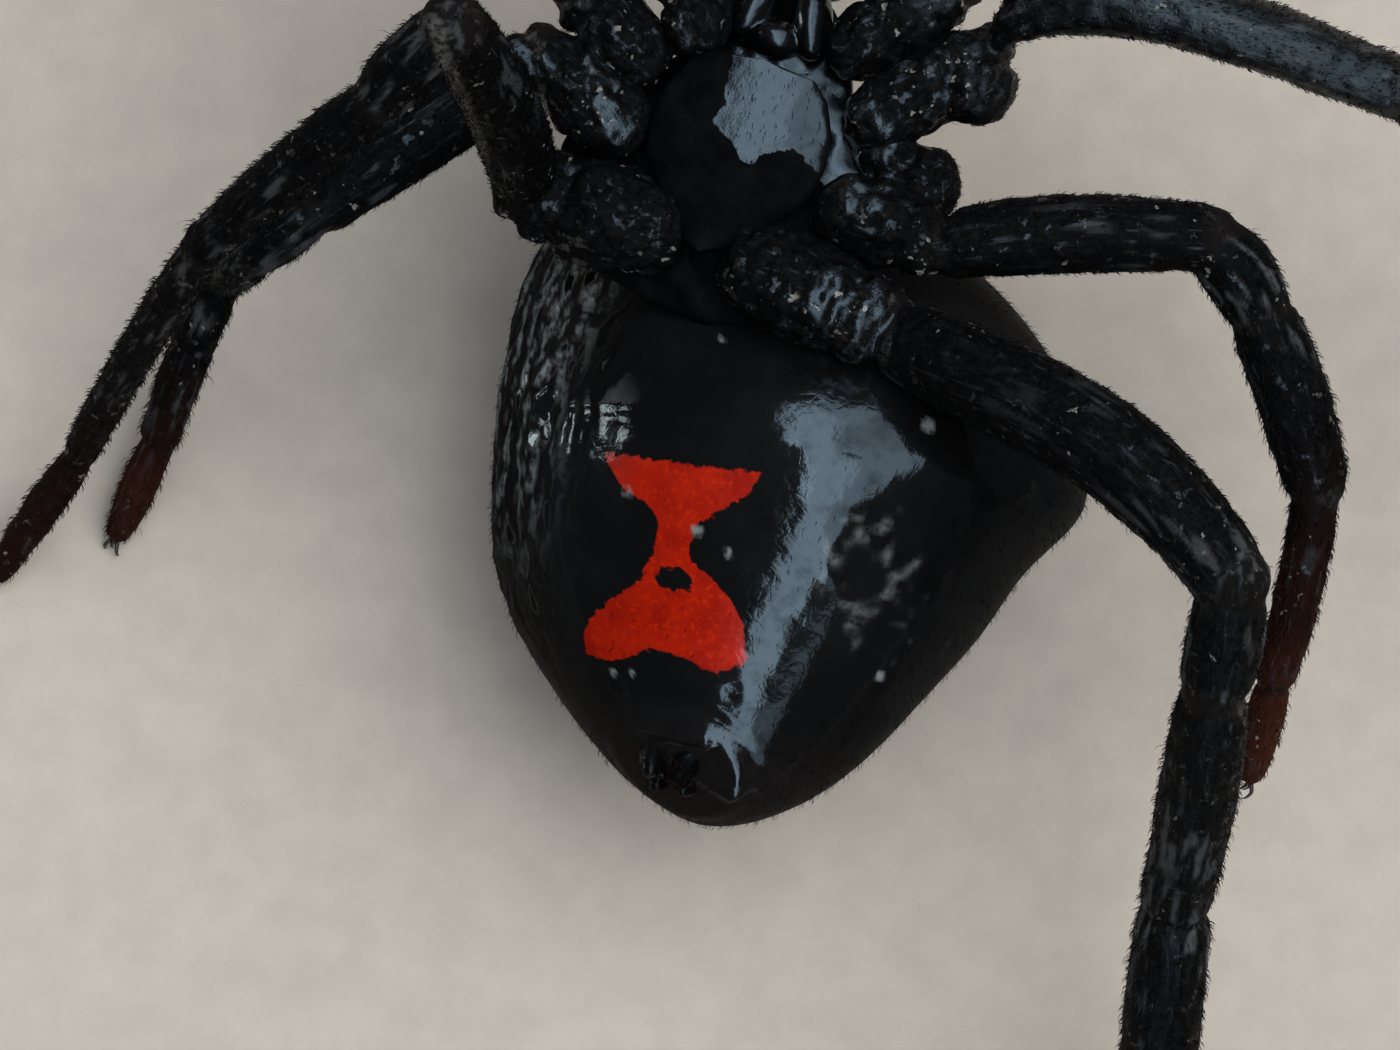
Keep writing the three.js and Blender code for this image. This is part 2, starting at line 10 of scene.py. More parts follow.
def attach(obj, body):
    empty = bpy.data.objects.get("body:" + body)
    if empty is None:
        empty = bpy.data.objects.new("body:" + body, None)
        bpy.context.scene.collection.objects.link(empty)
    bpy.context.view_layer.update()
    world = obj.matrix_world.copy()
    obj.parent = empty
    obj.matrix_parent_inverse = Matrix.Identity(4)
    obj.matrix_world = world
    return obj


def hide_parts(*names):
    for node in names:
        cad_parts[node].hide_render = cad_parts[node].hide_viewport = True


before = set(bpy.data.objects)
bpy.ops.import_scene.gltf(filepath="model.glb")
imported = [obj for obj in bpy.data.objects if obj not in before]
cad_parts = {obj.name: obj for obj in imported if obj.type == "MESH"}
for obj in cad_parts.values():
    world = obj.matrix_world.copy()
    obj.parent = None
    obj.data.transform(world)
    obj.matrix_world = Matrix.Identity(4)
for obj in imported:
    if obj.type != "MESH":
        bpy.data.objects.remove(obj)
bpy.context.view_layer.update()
print("frame loaded with", len(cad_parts), "nodes")

mm = 0.001
workingOrigin = (-0.0010160, -0.0090993, 0.0)  # where the camera's axis meets the floor, in the frame
toFrame = Matrix.Translation(workingOrigin) @ Matrix.Scale(mm, 4)
lowestSkin = 0.004  # skin that would come lower lies at this height over the floor

view = {
    "height": 80.0,  # of the lens over the floor
    "framedWidth": 17.07,  # what the picture spans, at the body's level
    "bodyLevel": 5.0,
    "sensor": 36.0,
    "clip": (0.002, 10),
}

floorLook = {
    "size": 900.0,
    "colour": (0.484, 0.447, 0.403),
    "roughness": 0.75,
    "mottling": 0.05,  # lighter and darker than the colour, as a share
    "mottleScale": 1.5,
    "grainScale": 3.0,
    "grainHeight": 0.03,
}

lamps = {
    "height": 450.0,  # of the overhead windows over the floor
    "colour": (0.56, 0.79, 1.0),
    "radiance": 4.0,
    "aim": (0, 0, 3),  # of the lamps that have no turn of their own
    # each window's middle, width, length and turn, as shares of the height, and its brightness as a share;
    # the windows are what the shell mirrors, and the soft lamps light everything without being mirrored
    "windows": [
        {"place": (-0.062, 0.03), "size": (0.32, 2.76), "turn": 3.0, "share": 1.15},
        {"place": (0.27, -0.2), "size": (0.42, 1.4), "turn": -16.2, "share": 0.7},
        {"place": (0.578, 0.988), "size": (0.55, 1.05), "turn": -32.5, "share": 0.55},
        {"place": (0.325, 0.85), "size": (0.6, 1.1), "turn": 0.0, "share": 0.75},
        {"place": (-0.165, -3.2), "size": (0.57, 3.7), "turn": 0.0, "share": 1.0},
        {"place": (0.33, -3.2), "size": (0.45, 3.7), "turn": 0.0, "share": 0.3},
        {"place": (-0.215, 0.1), "size": (0.03, 1.0), "turn": 3.0, "share": 1.5, "lower": 3.0},
    ],
    "fillStrength": 0.05,
    "fillColour": (0.86, 0.93, 1.0),
    "soft": [
        {"power": 2.9, "size": (500.0, 500.0), "place": (260.0, 60.0, 420.0), "colour": (1.0, 0.965, 0.92)},
        {"power": 1.5, "size": (700.0, 700.0), "place": (-150.0, 150.0, 500.0), "colour": (1.0, 0.97, 0.94)},
    ],
    # low lamps that only show as glints along the flanks
    "glints": [
        {"radiance": 9.0, "size": (80.0, 55.0), "place": (-385.0, 95.0, 85.0), "colour": (0.80, 0.97, 1.0)},
        {"radiance": 1.3, "size": (260.0, 90.0), "place": (-350.0, 190.0, 55.0), "colour": (0.86, 0.95, 1.0)},
    ],
}


def deselectAll():
    for item in bpy.context.selected_objects:
        item.select_set(False)


def pick(piece):
    deselectAll()
    piece.select_set(True)
    bpy.context.view_layer.objects.active = piece


def applyAll(piece):
    pick(piece)
    for modifier in list(piece.modifiers):
        bpy.ops.object.modifier_apply(modifier=modifier.name)


def pointsOf(piece):
    flat = np.empty(len(piece.data.vertices) * 3)
    piece.data.vertices.foreach_get("co", flat)
    return flat.reshape(-1, 3)


def setPoints(piece, points):
    piece.data.vertices.foreach_set("co", np.ascontiguousarray(points, dtype=np.float32).ravel())
    piece.data.update()


def smoothStep(low, high, value):
    share = np.clip((value - low) / (high - low), 0.0, 1.0)
    return share * share * (3 - 2 * share)


def setAttribute(piece, name, values):
    values = np.ascontiguousarray(values, dtype=np.float32)
    kind, field = ("FLOAT", "value") if values.ndim == 1 else ("FLOAT_VECTOR", "vector")
    layer = piece.data.attributes.get(name) or piece.data.attributes.new(name, kind, "POINT")
    layer.data.foreach_set(field, values.ravel())


def setStops(ramp, stops):
    def shadeOf(shade):
        return (*shade, 1) if isinstance(shade, tuple) else (shade, shade, shade, 1)
    for end in (0, -1):
        ramp.elements[end].position = stops[end][0]
        ramp.elements[end].color = shadeOf(stops[end][1])
    for place, shade in stops[1:-1]:
        ramp.elements.new(place).color = shadeOf(shade)


# a wire is a socket in a material, and sums on wires add Math nodes
class Wire:
    def __init__(self, tree, socket=None):
        self.tree = tree
        self.socket = socket

    def node(self, kind, settings=None, inputs=None, out=0):
        made = self.tree.nodes.new("ShaderNode" + kind)
        for name, value in (settings or {}).items():
            if name == "stops":
                setStops(made.color_ramp, value)
            else:
                setattr(made, name, value)
        for name, value in (inputs or {}).items():
            if isinstance(value, Wire):
                self.tree.links.new(value.socket, made.inputs[name])
            else:
                made.inputs[name].default_value = value
        return Wire(self.tree, made.outputs[out])

    def maths(self, operation, *values):
        return self.node("Math", {"operation": operation}, dict(enumerate(values)))

    def __add__(self, other):
        return self.maths("ADD", self, other)

    def __radd__(self, other):
        return self.maths("ADD", other, self)

    def __sub__(self, other):
        return self.maths("SUBTRACT", self, other)

    def __rsub__(self, other):
        return self.maths("SUBTRACT", other, self)

    def __mul__(self, other):
        return self.maths("MULTIPLY", self, other)

    def __rmul__(self, other):
        return self.maths("MULTIPLY", other, self)

    def step(self, low, high):
        settings = {"interpolation_type": "SMOOTHSTEP", "clamp": True}
        return self.node("MapRange", settings, {"Value": self, "From Min": low, "From Max": high})

    def least(self, other):
        return self.maths("MINIMUM", self, other)

    def most(self, other):
        return self.maths("MAXIMUM", self, other)

    def noise(self, scale, detail=3.0, roughness=0.55, distortion=0.0):
        return self.node("TexNoise", {}, {
            "Vector": self, "Scale": scale, "Detail": detail,
            "Roughness": roughness, "Distortion": distortion,
        })

    def blend(self, low, high):
        # from one colour to another; 0, 6 and 7 are the Mix node's factor and its two colours
        return self.node("Mix", {"data_type": "RGBA"}, {0: self, 6: low, 7: high}, out=2)

    def cells(self, scale, feature="F1"):
        # distance from the middle, or from the edge, of the nearest cell
        return self.node("TexVoronoi", {"feature": feature}, {"Vector": self, "Scale": scale}, out="Distance")

    def bump(self, distance, strength=1.0, under=None):
        inputs = {"Height": self, "Distance": distance * mm, "Strength": strength}
        if under is not None:
            inputs["Normal"] = under
        return self.node("Bump", {}, inputs)


def newMaterial(name):
    # the material, a loose wire to start from, and what fills its shader's sockets
    material = bpy.data.materials.new(name)
    material.use_nodes = True
    tree = material.node_tree
    shader = tree.nodes["Principled BSDF"]

    def fill(values):
        for socket, value in values.items():
            if isinstance(value, Wire):
                tree.links.new(value.socket, shader.inputs[socket])
            else:
                shader.inputs[socket].default_value = value
    return material, Wire(tree), fill


dullLook = {"roughness": 0.6, "specular": 0.02}


def dulled(material, start, amount, base, normal):
    # where amount is 1, a rough skin that mirrors next to nothing takes over
    tree = material.node_tree
    glossy = tree.nodes["Principled BSDF"]
    rough = start.node("BsdfPrincipled", {}, {
        "Base Color": base, "Normal": normal,
        "Roughness": dullLook["roughness"], "Specular IOR Level": dullLook["specular"],
    })
    both = start.node("MixShader", {}, {0: amount, 1: Wire(tree, glossy.outputs[0]), 2: rough})
    tree.links.new(both.socket, tree.nodes["Material Output"].inputs["Surface"])


def attribute(start, name):
    return start.node("Attribute", {"attribute_name": name}, out="Fac")


def inMillimetres(start):
    place = start.node("TexCoord", out="Object")
    return start.node("Mapping", {}, {"Vector": place, "Scale": (1 / mm,) * 3})


def finishPiece(piece, name, material, slot, *nodes):
    # from working millimetres to the frame, dressed and riding on the body
    piece.name = name
    piece.data.name = name
    piece.data.transform(toFrame)
    piece.data.update()
    piece.data.materials.clear()
    piece.data.materials.append(material)
    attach(piece, "root")
    if nodes:
        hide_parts(*nodes)
    return piece


# camera, straight above with the head end at the picture's top
def addCamera():
    distance = view["height"] - view["bodyLevel"]
    bpy.ops.object.camera_add(location=toFrame @ Vector((0, 0, view["height"])), rotation=(0, 0, 0))
    camera = bpy.context.object
    camera.name = "camera"
    camera.data.sensor_width = view["sensor"]
    camera.data.lens = view["sensor"] * distance / view["framedWidth"]
    camera.data.clip_start, camera.data.clip_end = view["clip"]
    bpy.context.scene.camera = camera


def addLamp(name, power, size, place, colour, mirrored, turn=None):
    # a mirrored lamp shows in the gloss only, and any other one lights only
    bpy.ops.object.light_add(type="AREA", location=toFrame @ Vector(place))
    lamp = bpy.context.object
    lamp.name = name
    lamp.data.energy = power
    lamp.data.color = colour
    lamp.data.shape = "RECTANGLE"
    lamp.data.size = size[0] * mm
    lamp.data.size_y = size[1] * mm
    lamp.visible_camera = False
    lamp.visible_glossy = mirrored
    lamp.visible_diffuse = not mirrored
    if turn is None:
        aim = toFrame @ Vector(lamps["aim"]) - lamp.location
        lamp.rotation_euler = aim.to_track_quat("-Z", "Y").to_euler()
    else:
        lamp.rotation_euler = (0, 0, math.radians(turn))


def powerOf(radiance, size):
    return math.pi * radiance * size[0] * size[1] * mm * mm


def addLamps():
    height = lamps["height"]
    for number, window in enumerate(lamps["windows"]):
        size = tuple(share * height for share in window["size"])
        place = (window["place"][0] * height, window["place"][1] * height, height - window.get("lower", 0))
        power = powerOf(lamps["radiance"] * window["share"], size)
        addLamp(f"window{number}", power, size, place, lamps["colour"], True, window["turn"])
    for number, lamp in enumerate(lamps["glints"]):
        power = powerOf(lamp["radiance"], lamp["size"])
        addLamp(f"glint{number}", power, lamp["size"], lamp["place"], lamp["colour"], True)
    for number, lamp in enumerate(lamps["soft"]):
        addLamp(f"soft{number}", lamp["power"], lamp["size"], lamp["place"], lamp["colour"], False)


def addStudio():
    bpy.ops.mesh.primitive_plane_add(size=floorLook["size"] * mm, location=(0, 0, 0))
    floor = bpy.context.object
    floor.name = "floor"
    material, start, fill = newMaterial("floor")
    place = inMillimetres(start)
    mottle = place.noise(floorLook["mottleScale"], 5.0).step(0.3, 0.7)
    spread = floorLook["mottling"]
    low, high = ((*(share * tone for tone in floorLook["colour"]), 1) for share in (1 - spread, 1 + spread))
    fill({
        "Base Color": mottle.blend(low, high),
        "Roughness": floorLook["roughness"],
        "Normal": place.noise(floorLook["grainScale"], 4.0).bump(floorLook["grainHeight"], 0.4),
    })
    floor.data.materials.append(material)
    addLamps()
    world = bpy.data.worlds.new("studio")
    world.use_nodes = True
    background = world.node_tree.nodes["Background"]
    background.inputs["Color"].default_value = (*lamps["fillColour"], 1)
    background.inputs["Strength"].default_value = lamps["fillStrength"]
    bpy.context.scene.world = world
    bpy.context.scene.view_settings.view_transform = "Standard"


deselectAll()
addCamera()
addStudio()
print("camera, floor and lights are in place")

# the body's own frames, as in the solids: Y leans by the heading, rises by the pitch and rolls
body = {
    "abdomenPlace": (1.14, 0.94, 3.0),
    "abdomenTurn": (11.5, 0.0, 25.0),
    "prosomaPlace": (0.37, 4.47, 5.72),
    "prosomaTurn": (19.0, -8.0, 8.0),
    "coxaLevel": -0.45,
    "tipRadius": 0.19,
    "flatDepth": 0.03,
}


def turnedFrame(place, turn):
    heading, pitch, roll = (math.radians(angle) for angle in turn)
    turned = Matrix.Rotation(-heading, 4, "Z") @ Matrix.Rotation(pitch, 4, "X")
    return Matrix.Translation(place) @ (turned @ Matrix.Rotation(-roll, 4, "Y"))


abdomenFrame = turnedFrame(body["abdomenPlace"], body["abdomenTurn"])
prosomaFrame = turnedFrame(body["prosomaPlace"], body["prosomaTurn"])

# each leg: lengths from the body outwards, and the way each segment points, azimuth then elevation
legs = {
    "lengths": {
        "1": (7.1, 2.0, 5.7, 8.0, 2.8),
        "2": (5.0, 1.6, 3.7, 5.4, 2.2),
        "3": (3.3, 1.1, 2.4, 2.8, 1.5),
        "4": (5.4, 1.5, 3.9, 5.9, 2.4),
    },
    "roots": {
        "1": ((0.78, 1.62), (1.9, 2.4)),
        "2": ((1.26, 0.8), (2.5, 1.0)),
        "3": ((1.2, -0.12), (2.68, -0.3)),
        "4": ((0.32, -1.08), (2.45, -1.38)),
    },
    "coxaThickness": {"1": 0.9, "2": 0.95, "3": 1.0, "4": 1.25},
    "thickness": {"L1": 1.06, "L2": 1.0, "L3": 1.0, "L4": 1.2, "R1": 1.06, "R2": 1.0, "R3": 1.0, "R4": 1.06},
    "stouter": {  # segments that differ from the rest of their leg
        "L3": {"femur": 1.06, "patella": 1.16, "tibia": 1.2},
        "L4": {"femur": 1.08, "tibia": 1.08, "metatarsus": 1.38},
        "R3": {"femur": 1.05},
        "R4": {"femur": 0.95, "patella": 0.92, "tibia": 0.84, "metatarsus": 0.82},
    },
    # how far each hip has swung outwards and forwards
    "swing": {
        "L1": (0, 0.5), "L2": (0, 1.3), "L3": (-0.03, 0.08), "L4": (0, 0),
        "R1": (0, 0.2), "R2": (0, 0.45), "R3": (0, 0.9), "R4": (-0.15, 0.3),
    },
    # how far each femur bows, and the share of its length where it bows most
    "bow": {
        "L1": (0.2, 0.5), "L2": (0.95, 0.31), "L3": (0.1, 0.5), "L4": (0.68, 0.62),
        "R1": (0.2, 0.5), "R2": (0.2, 0.5), "R3": (0.1, 0.5), "R4": (0.15, 0.5),
    },
    "directions": {
        "L1": ((72, 26), (68, -10), (76, -30), (87, None), (97, -24)),
        "L2": ((-6.5, 11), (-36, -10), (-52, -26), (-63, None), (-69, -24)),
        "L3": ((1.5, 5), (-52.5, -17), (-70, -20), (-99, -28), (-101, -32)),
        "L4": ((-37, 23), (-97, -29), (-95.3, -46), (-94.5, None), (-95, -24)),
        "R1": ((104, 28), (105, -12), (103, -30), (96, None), (88, -23)),
        "R2": ((122, 30), (132, -8), (143, -32), (149, None), (152, -30)),
        "R3": ((-146.2, 2), (-146, -20), (-168, -78), (-114.5, None), (-115, -20)),
        "R4": ((114, 71), (-139, -41), (-144, -44), (-129.5, None), (-128, -34)),
    },
}
segmentNames = ("femur", "patella", "tibia", "metatarsus", "tarsus")


def direction(azimuth, elevation):
    flat = math.cos(math.radians(elevation))
    turn = math.radians(azimuth)
    return Vector((flat * math.cos(turn), flat * math.sin(turn), math.sin(math.radians(elevation))))


def limbFrame(place, along, upper=Vector((0, 0, 1))):
    # Z runs along the limb and Y is as near as can be to the upper side's
    z = along.normalized()
    x = upper.cross(z).normalized()
    y = z.cross(x)
    matrix = Matrix((x, y, z)).transposed().to_4x4()
    return Matrix.Translation(place) @ matrix


def legChain(name):
    # the segments of one leg from the body outwards: frame, length, thickness and bow of each
    side = 1 if name[0] == "L" else -1
    pair = name[1]
    root, hip = legs["roots"][pair]
    out, forward = legs["swing"][name]
    rootPoint = prosomaFrame @ Vector((side * root[0], root[1], body["coxaLevel"]))
    hipPoint = prosomaFrame @ Vector((side * (hip[0] + out), hip[1] + forward, body["coxaLevel"]))
    lengths = legs["lengths"][pair]
    ways = legs["directions"][name]
    upper = direction(*ways[0]) - direction(*ways[2])
    coxaLength = (hipPoint - rootPoint).length
    coxa = {"name": "coxa", "matrix": limbFrame(rootPoint, hipPoint - rootPoint), "length": coxaLength,
            "thick": legs["coxaThickness"][pair], "bow": 0.0, "peak": 0.5}
    chain = [coxa]
    joint = hipPoint
    for segment, length, (azimuth, elevation) in zip(segmentNames, lengths, ways):
        if elevation is None:
            tip = body["tipRadius"] - body["flatDepth"]
            drop = tip - joint.z - lengths[4] * math.sin(math.radians(ways[4][1]))
            elevation = math.degrees(math.asin(max(-1.0, min(1.0, drop / length))))
        along = direction(azimuth, elevation)
        thick = legs["thickness"][name] * legs["stouter"].get(name, {}).get(segment, 1.0)
        bow, peak = legs["bow"][name] if segment == "femur" else (legShape["bows"][segment], 0.5)
        chain.append({"name": segment, "matrix": limbFrame(joint, along, upper), "length": length,
                      "thick": 1.0 if segment == "tarsus" else thick, "bow": bow, "peak": peak})
        joint = joint + along * length
    return chain


def bowAt(part, share):
    skew = math.log(0.5) / math.log(part["peak"])
    return part["bow"] * np.sin(math.pi * np.clip(share, 0, 1) ** skew)


# modelling helpers: tubes drawn upwards ring by ring, and globes whose rings take a section's shape
def turnedTube(stations, around):
    # stations are pairs of height and radius, from the first ring upwards
    deselectAll()
    (height, radius), *rest = stations
    bpy.ops.mesh.primitive_circle_add(vertices=around, radius=radius, fill_type="NGON", location=(0, 0, 0))
    piece = bpy.context.object
    bpy.ops.object.mode_set(mode="EDIT")
    bpy.ops.mesh.select_all(action="SELECT")
    bpy.ops.transform.translate(value=(0, 0, height))
    for nextHeight, nextRadius in rest:
        bpy.ops.mesh.extrude_region_move(TRANSFORM_OT_translate={"value": (0, 0, nextHeight - height)})
        share = nextRadius / radius
        bpy.ops.transform.resize(value=(share, share, 1), center_override=(0, 0, nextHeight))
        height, radius = nextHeight, nextRadius
    bpy.ops.mesh.select_all(action="SELECT")
    bpy.ops.mesh.normals_make_consistent(inside=False)
    bpy.ops.object.mode_set(mode="OBJECT")
    return piece


def subdivide(piece, levels):
    modifier = piece.modifiers.new("round", "SUBSURF")
    modifier.levels = levels
    modifier.render_levels = levels
    applyAll(piece)


def smoothShade(piece):
    pick(piece)
    bpy.ops.object.shade_smooth()


def joined(pieces):
    deselectAll()
    for piece in pieces:
        piece.select_set(True)
    bpy.context.view_layer.objects.active = pieces[0]
    bpy.ops.object.join()
    return bpy.context.object


def fused(piece, voxel, smoothing):
    # closed shells that run through each other become one skin
    pick(piece)
    remesh = piece.modifiers.new("fuse", "REMESH")
    remesh.mode = "VOXEL"
    remesh.voxel_size = voxel
    remesh.use_smooth_shade = True
    if smoothing:
        smooth = piece.modifiers.new("smooth", "SMOOTH")
        smooth.factor = 0.5
        smooth.iterations = smoothing
    applyAll(piece)
    smoothShade(piece)
    return piece


def globe(sectionAt, segments, rings):
    # a sphere with its poles along Y, where each ring is two half ellipses
    deselectAll()
    bpy.ops.mesh.primitive_uv_sphere_add(segments=segments, ring_count=rings, radius=1)
    piece = bpy.context.object
    points = pointsOf(piece)
    along = np.clip(-points[:, 2], -1, 1)
    out = np.hypot(points[:, 0], points[:, 1])
    inner = out > 1e-6
    cosine = np.where(inner, points[:, 0] / np.maximum(out, 1e-9), 0)
    sine = np.where(inner, points[:, 1] / np.maximum(out, 1e-9), 0)
    section = sectionAt(along)
    rise = sine * np.where(sine > 0, section["up"], section["down"])
    x = section.get("lean", 0) + section["half"] * cosine
    setPoints(piece, np.stack([x, section["y"], section.get("middle", 0) + rise], axis=1))
    setAttribute(piece, "along", along)
    setAttribute(piece, "turn", np.arctan2(sine, cosine) / (2 * math.pi) + 0.5)
    smoothShade(piece)
    return piece


def tubeThrough(path, radii, around, steps=4):
    # a tube along a smooth curve through some points, closed and rounded at both ends
    count = steps * (len(path) - 1) + 1
    knots = np.array([tuple(point) for point in path], dtype=float)
    padded = np.vstack([2 * knots[0] - knots[1], knots, 2 * knots[-1] - knots[-2]])
    centres = []
    sizes = []
    for step in range(count):
        place = step / steps
        first = min(int(place), len(path) - 2)
        t = place - first
        a, b, c, d = padded[first:first + 4]
        curve = 2 * b + (c - a) * t + (2 * a - 5 * b + 4 * c - d) * t * t + (3 * b - a - 3 * c + d) * t ** 3
        centres.append(Vector(0.5 * curve))
        sizes.append(radii[first] + (radii[first + 1] - radii[first]) * t)
    ways = [(centres[min(i + 1, count - 1)] - centres[max(i - 1, 0)]).normalized() for i in range(count)]
    # rounded ends
    first, last = centres[0], centres[-1]
    centres = [first - ways[0] * 0.5 * sizes[0]] + centres + [last + ways[-1] * 0.5 * sizes[-1]]
    sizes = [0.6 * sizes[0]] + sizes + [0.6 * sizes[-1]]
    ways = [ways[0]] + ways + [ways[-1]]
    piece = turnedTube([(float(step), 1.0) for step in range(len(centres))], around)
    points = pointsOf(piece)
    ring = np.rint(points[:, 2]).astype(int)
    side = ways[0].orthogonal().normalized()
    placed = np.zeros_like(points)
    for number, (centre, size, way) in enumerate(zip(centres, sizes, ways)):
        side = (side - way * side.dot(way)).normalized()
        other = way.cross(side)
        chosen = ring == number
        placed[chosen] = (np.array(centre) + size * (points[chosen, :1] * np.array(side)
                          + points[chosen, 1:2] * np.array(other)))
    setPoints(piece, placed)
    subdivide(piece, 1)
    return piece


def normalsOf(piece):
    flat = np.empty(len(piece.data.vertices) * 3)
    piece.data.vertices.foreach_get("normal", flat)
    return flat.reshape(-1, 3)


def raised(piece, amounts):
    # moves each point along its normal
    setPoints(piece, pointsOf(piece) + normalsOf(piece) * np.asarray(amounts)[:, None])


def noiseAt(points, scale, seed):
    # smooth noise about zero at each point; scale may be one number or one for each axis
    stretched = points * np.asarray(scale) + seed
    return np.array([noise.noise(Vector(point)) for point in stretched])


def bell(away, wide):
    # one in the middle, fading to nothing beyond the width
    return np.exp(-(away / wide) ** 2)


def ripple(points, height, scale, seed):
    return height * noiseAt(points, scale, seed)


def localPoints(points, frameMatrix):
    inverse = np.array(frameMatrix.inverted())
    return points @ inverse[:3, :3].T + inverse[:3, 3]


def everywhere(points, way):
    # the same direction at each point, for hairs to lie along
    return np.zeros_like(points) + np.array(way)


def aboveFloor(points):
    points[:, 2] = np.maximum(points[:, 2], lowestSkin)
    return points


# bristles: thin bent three-sided hairs in one mesh, each on its own patch of the unwrap
hair = {
    "halfway": 0.7,  # radius in the middle, as a share of the root's
    "clearance": 0.01,  # hairs that come nearer the floor are left out
    # corners 0 to 2 are the root's, 3 to 5 the middle's and 6 the tip
    "faces": [(0, 1, 3), (1, 4, 3), (1, 2, 4), (2, 5, 4), (2, 0, 5), (0, 3, 5),
              (3, 4, 6), (4, 5, 6), (5, 3, 6), (0, 2, 1)],
    "patch": [(0, 0), (1, 0), (0.5, 0.2), (0.1, 0.6), (0.9, 0.6), (0.5, 0.7), (0.5, 1)],
    "patchSize": 0.003,
}


def growBristles(name, skin, coat, density, lie, unwrap, material, slot, carried=None):
    mesh = skin.data
    mesh.calc_loop_triangles()
    corners = np.empty(len(mesh.loop_triangles) * 3, dtype=np.int32)
    mesh.loop_triangles.foreach_get("vertices", corners)
    corners = corners.reshape(-1, 3)
    points = pointsOf(skin)
    normals = normalsOf(skin)
    a, b, c = (points[corners[:, k]] for k in range(3))
    areas = np.linalg.norm(np.cross(b - a, c - a), axis=1) / 2
    weights = areas * density[corners].mean(axis=1)
    draw = np.random.default_rng(coat["seed"])
    chosen = draw.choice(len(weights), size=coat["count"], p=weights / weights.sum())
    mix = draw.dirichlet((1.0, 1.0, 1.0), size=coat["count"])[:, :, None]

    def blended(values):
        picked = values[corners[chosen]]
        return (picked * (mix if picked.ndim == 3 else mix[:, :, 0])).sum(axis=1)

    def unit(vectors):
        return vectors / np.maximum(np.linalg.norm(vectors, axis=1, keepdims=True), 1e-9)

    root = blended(points)
    up = unit(blended(normals))
    flow = blended(lie)
    flow = unit(flow - up * (flow * up).sum(axis=1, keepdims=True))
    aside = np.cross(up, flow)
    swing = np.radians(draw.normal(0, coat["spread"], coat["count"]))[:, None]
    flow, aside = flow * np.cos(swing) + aside * np.sin(swing), aside * np.cos(swing) - flow * np.sin(swing)
    tilt = np.radians(np.clip(draw.normal(coat["tilt"], coat["tiltSpread"], coat["count"]), 5, 85))[:, None]
    length = coat["length"] * (1 + coat["lengthSpread"] * draw.uniform(-1, 1, coat["count"]))[:, None]
    length = length * (blended(coat["lengthAt"])[:, None] if "lengthAt" in coat else 1)
    lower = flow * np.cos(tilt) + up * np.sin(tilt)
    upper = flow * np.cos(tilt * coat["bend"]) + up * np.sin(tilt * coat["bend"])
    start = root - up * coat["sunk"]
    middle = root + lower * length * 0.5
    tip = middle + upper * length * 0.5
    across = np.cross(lower, aside)
    rings = []
    for place, radius in ((start, coat["radius"]), (middle, coat["radius"] * hair["halfway"])):
        for turn in (0, 2 * math.pi / 3, 4 * math.pi / 3):
            rings.append(place + radius * (aside * math.cos(turn) + across * math.sin(turn)))
    shape = np.stack(rings + [tip], axis=1)
    kept = shape[:, :, 2].min(axis=1) > hair["clearance"]
    shape = shape[kept]
    each = len(hair["patch"])
    faces = (np.arange(len(shape))[:, None, None] * each + np.array(hair["faces"])[None]).reshape(-1, 3)
    mesh = bpy.data.meshes.new(name)
    mesh.from_pydata(shape.reshape(-1, 3).tolist(), [], faces.tolist())
    patch = np.array(hair["patch"]) * hair["patchSize"]
    spots = (blended(unwrap)[kept][:, None, :] + patch[None]).reshape(-1, 2)
    layer = mesh.uv_layers.new(name="OFBake")
    layer.data.foreach_set("uv", spots[faces.ravel()].ravel().astype(np.float32))
    piece = bpy.data.objects.new(name, mesh)
    bpy.context.scene.collection.objects.link(piece)
    for key, values in (carried or {}).items():
        setAttribute(piece, key, np.repeat(blended(values)[kept], each))
    return finishPiece(piece, name, material, slot)


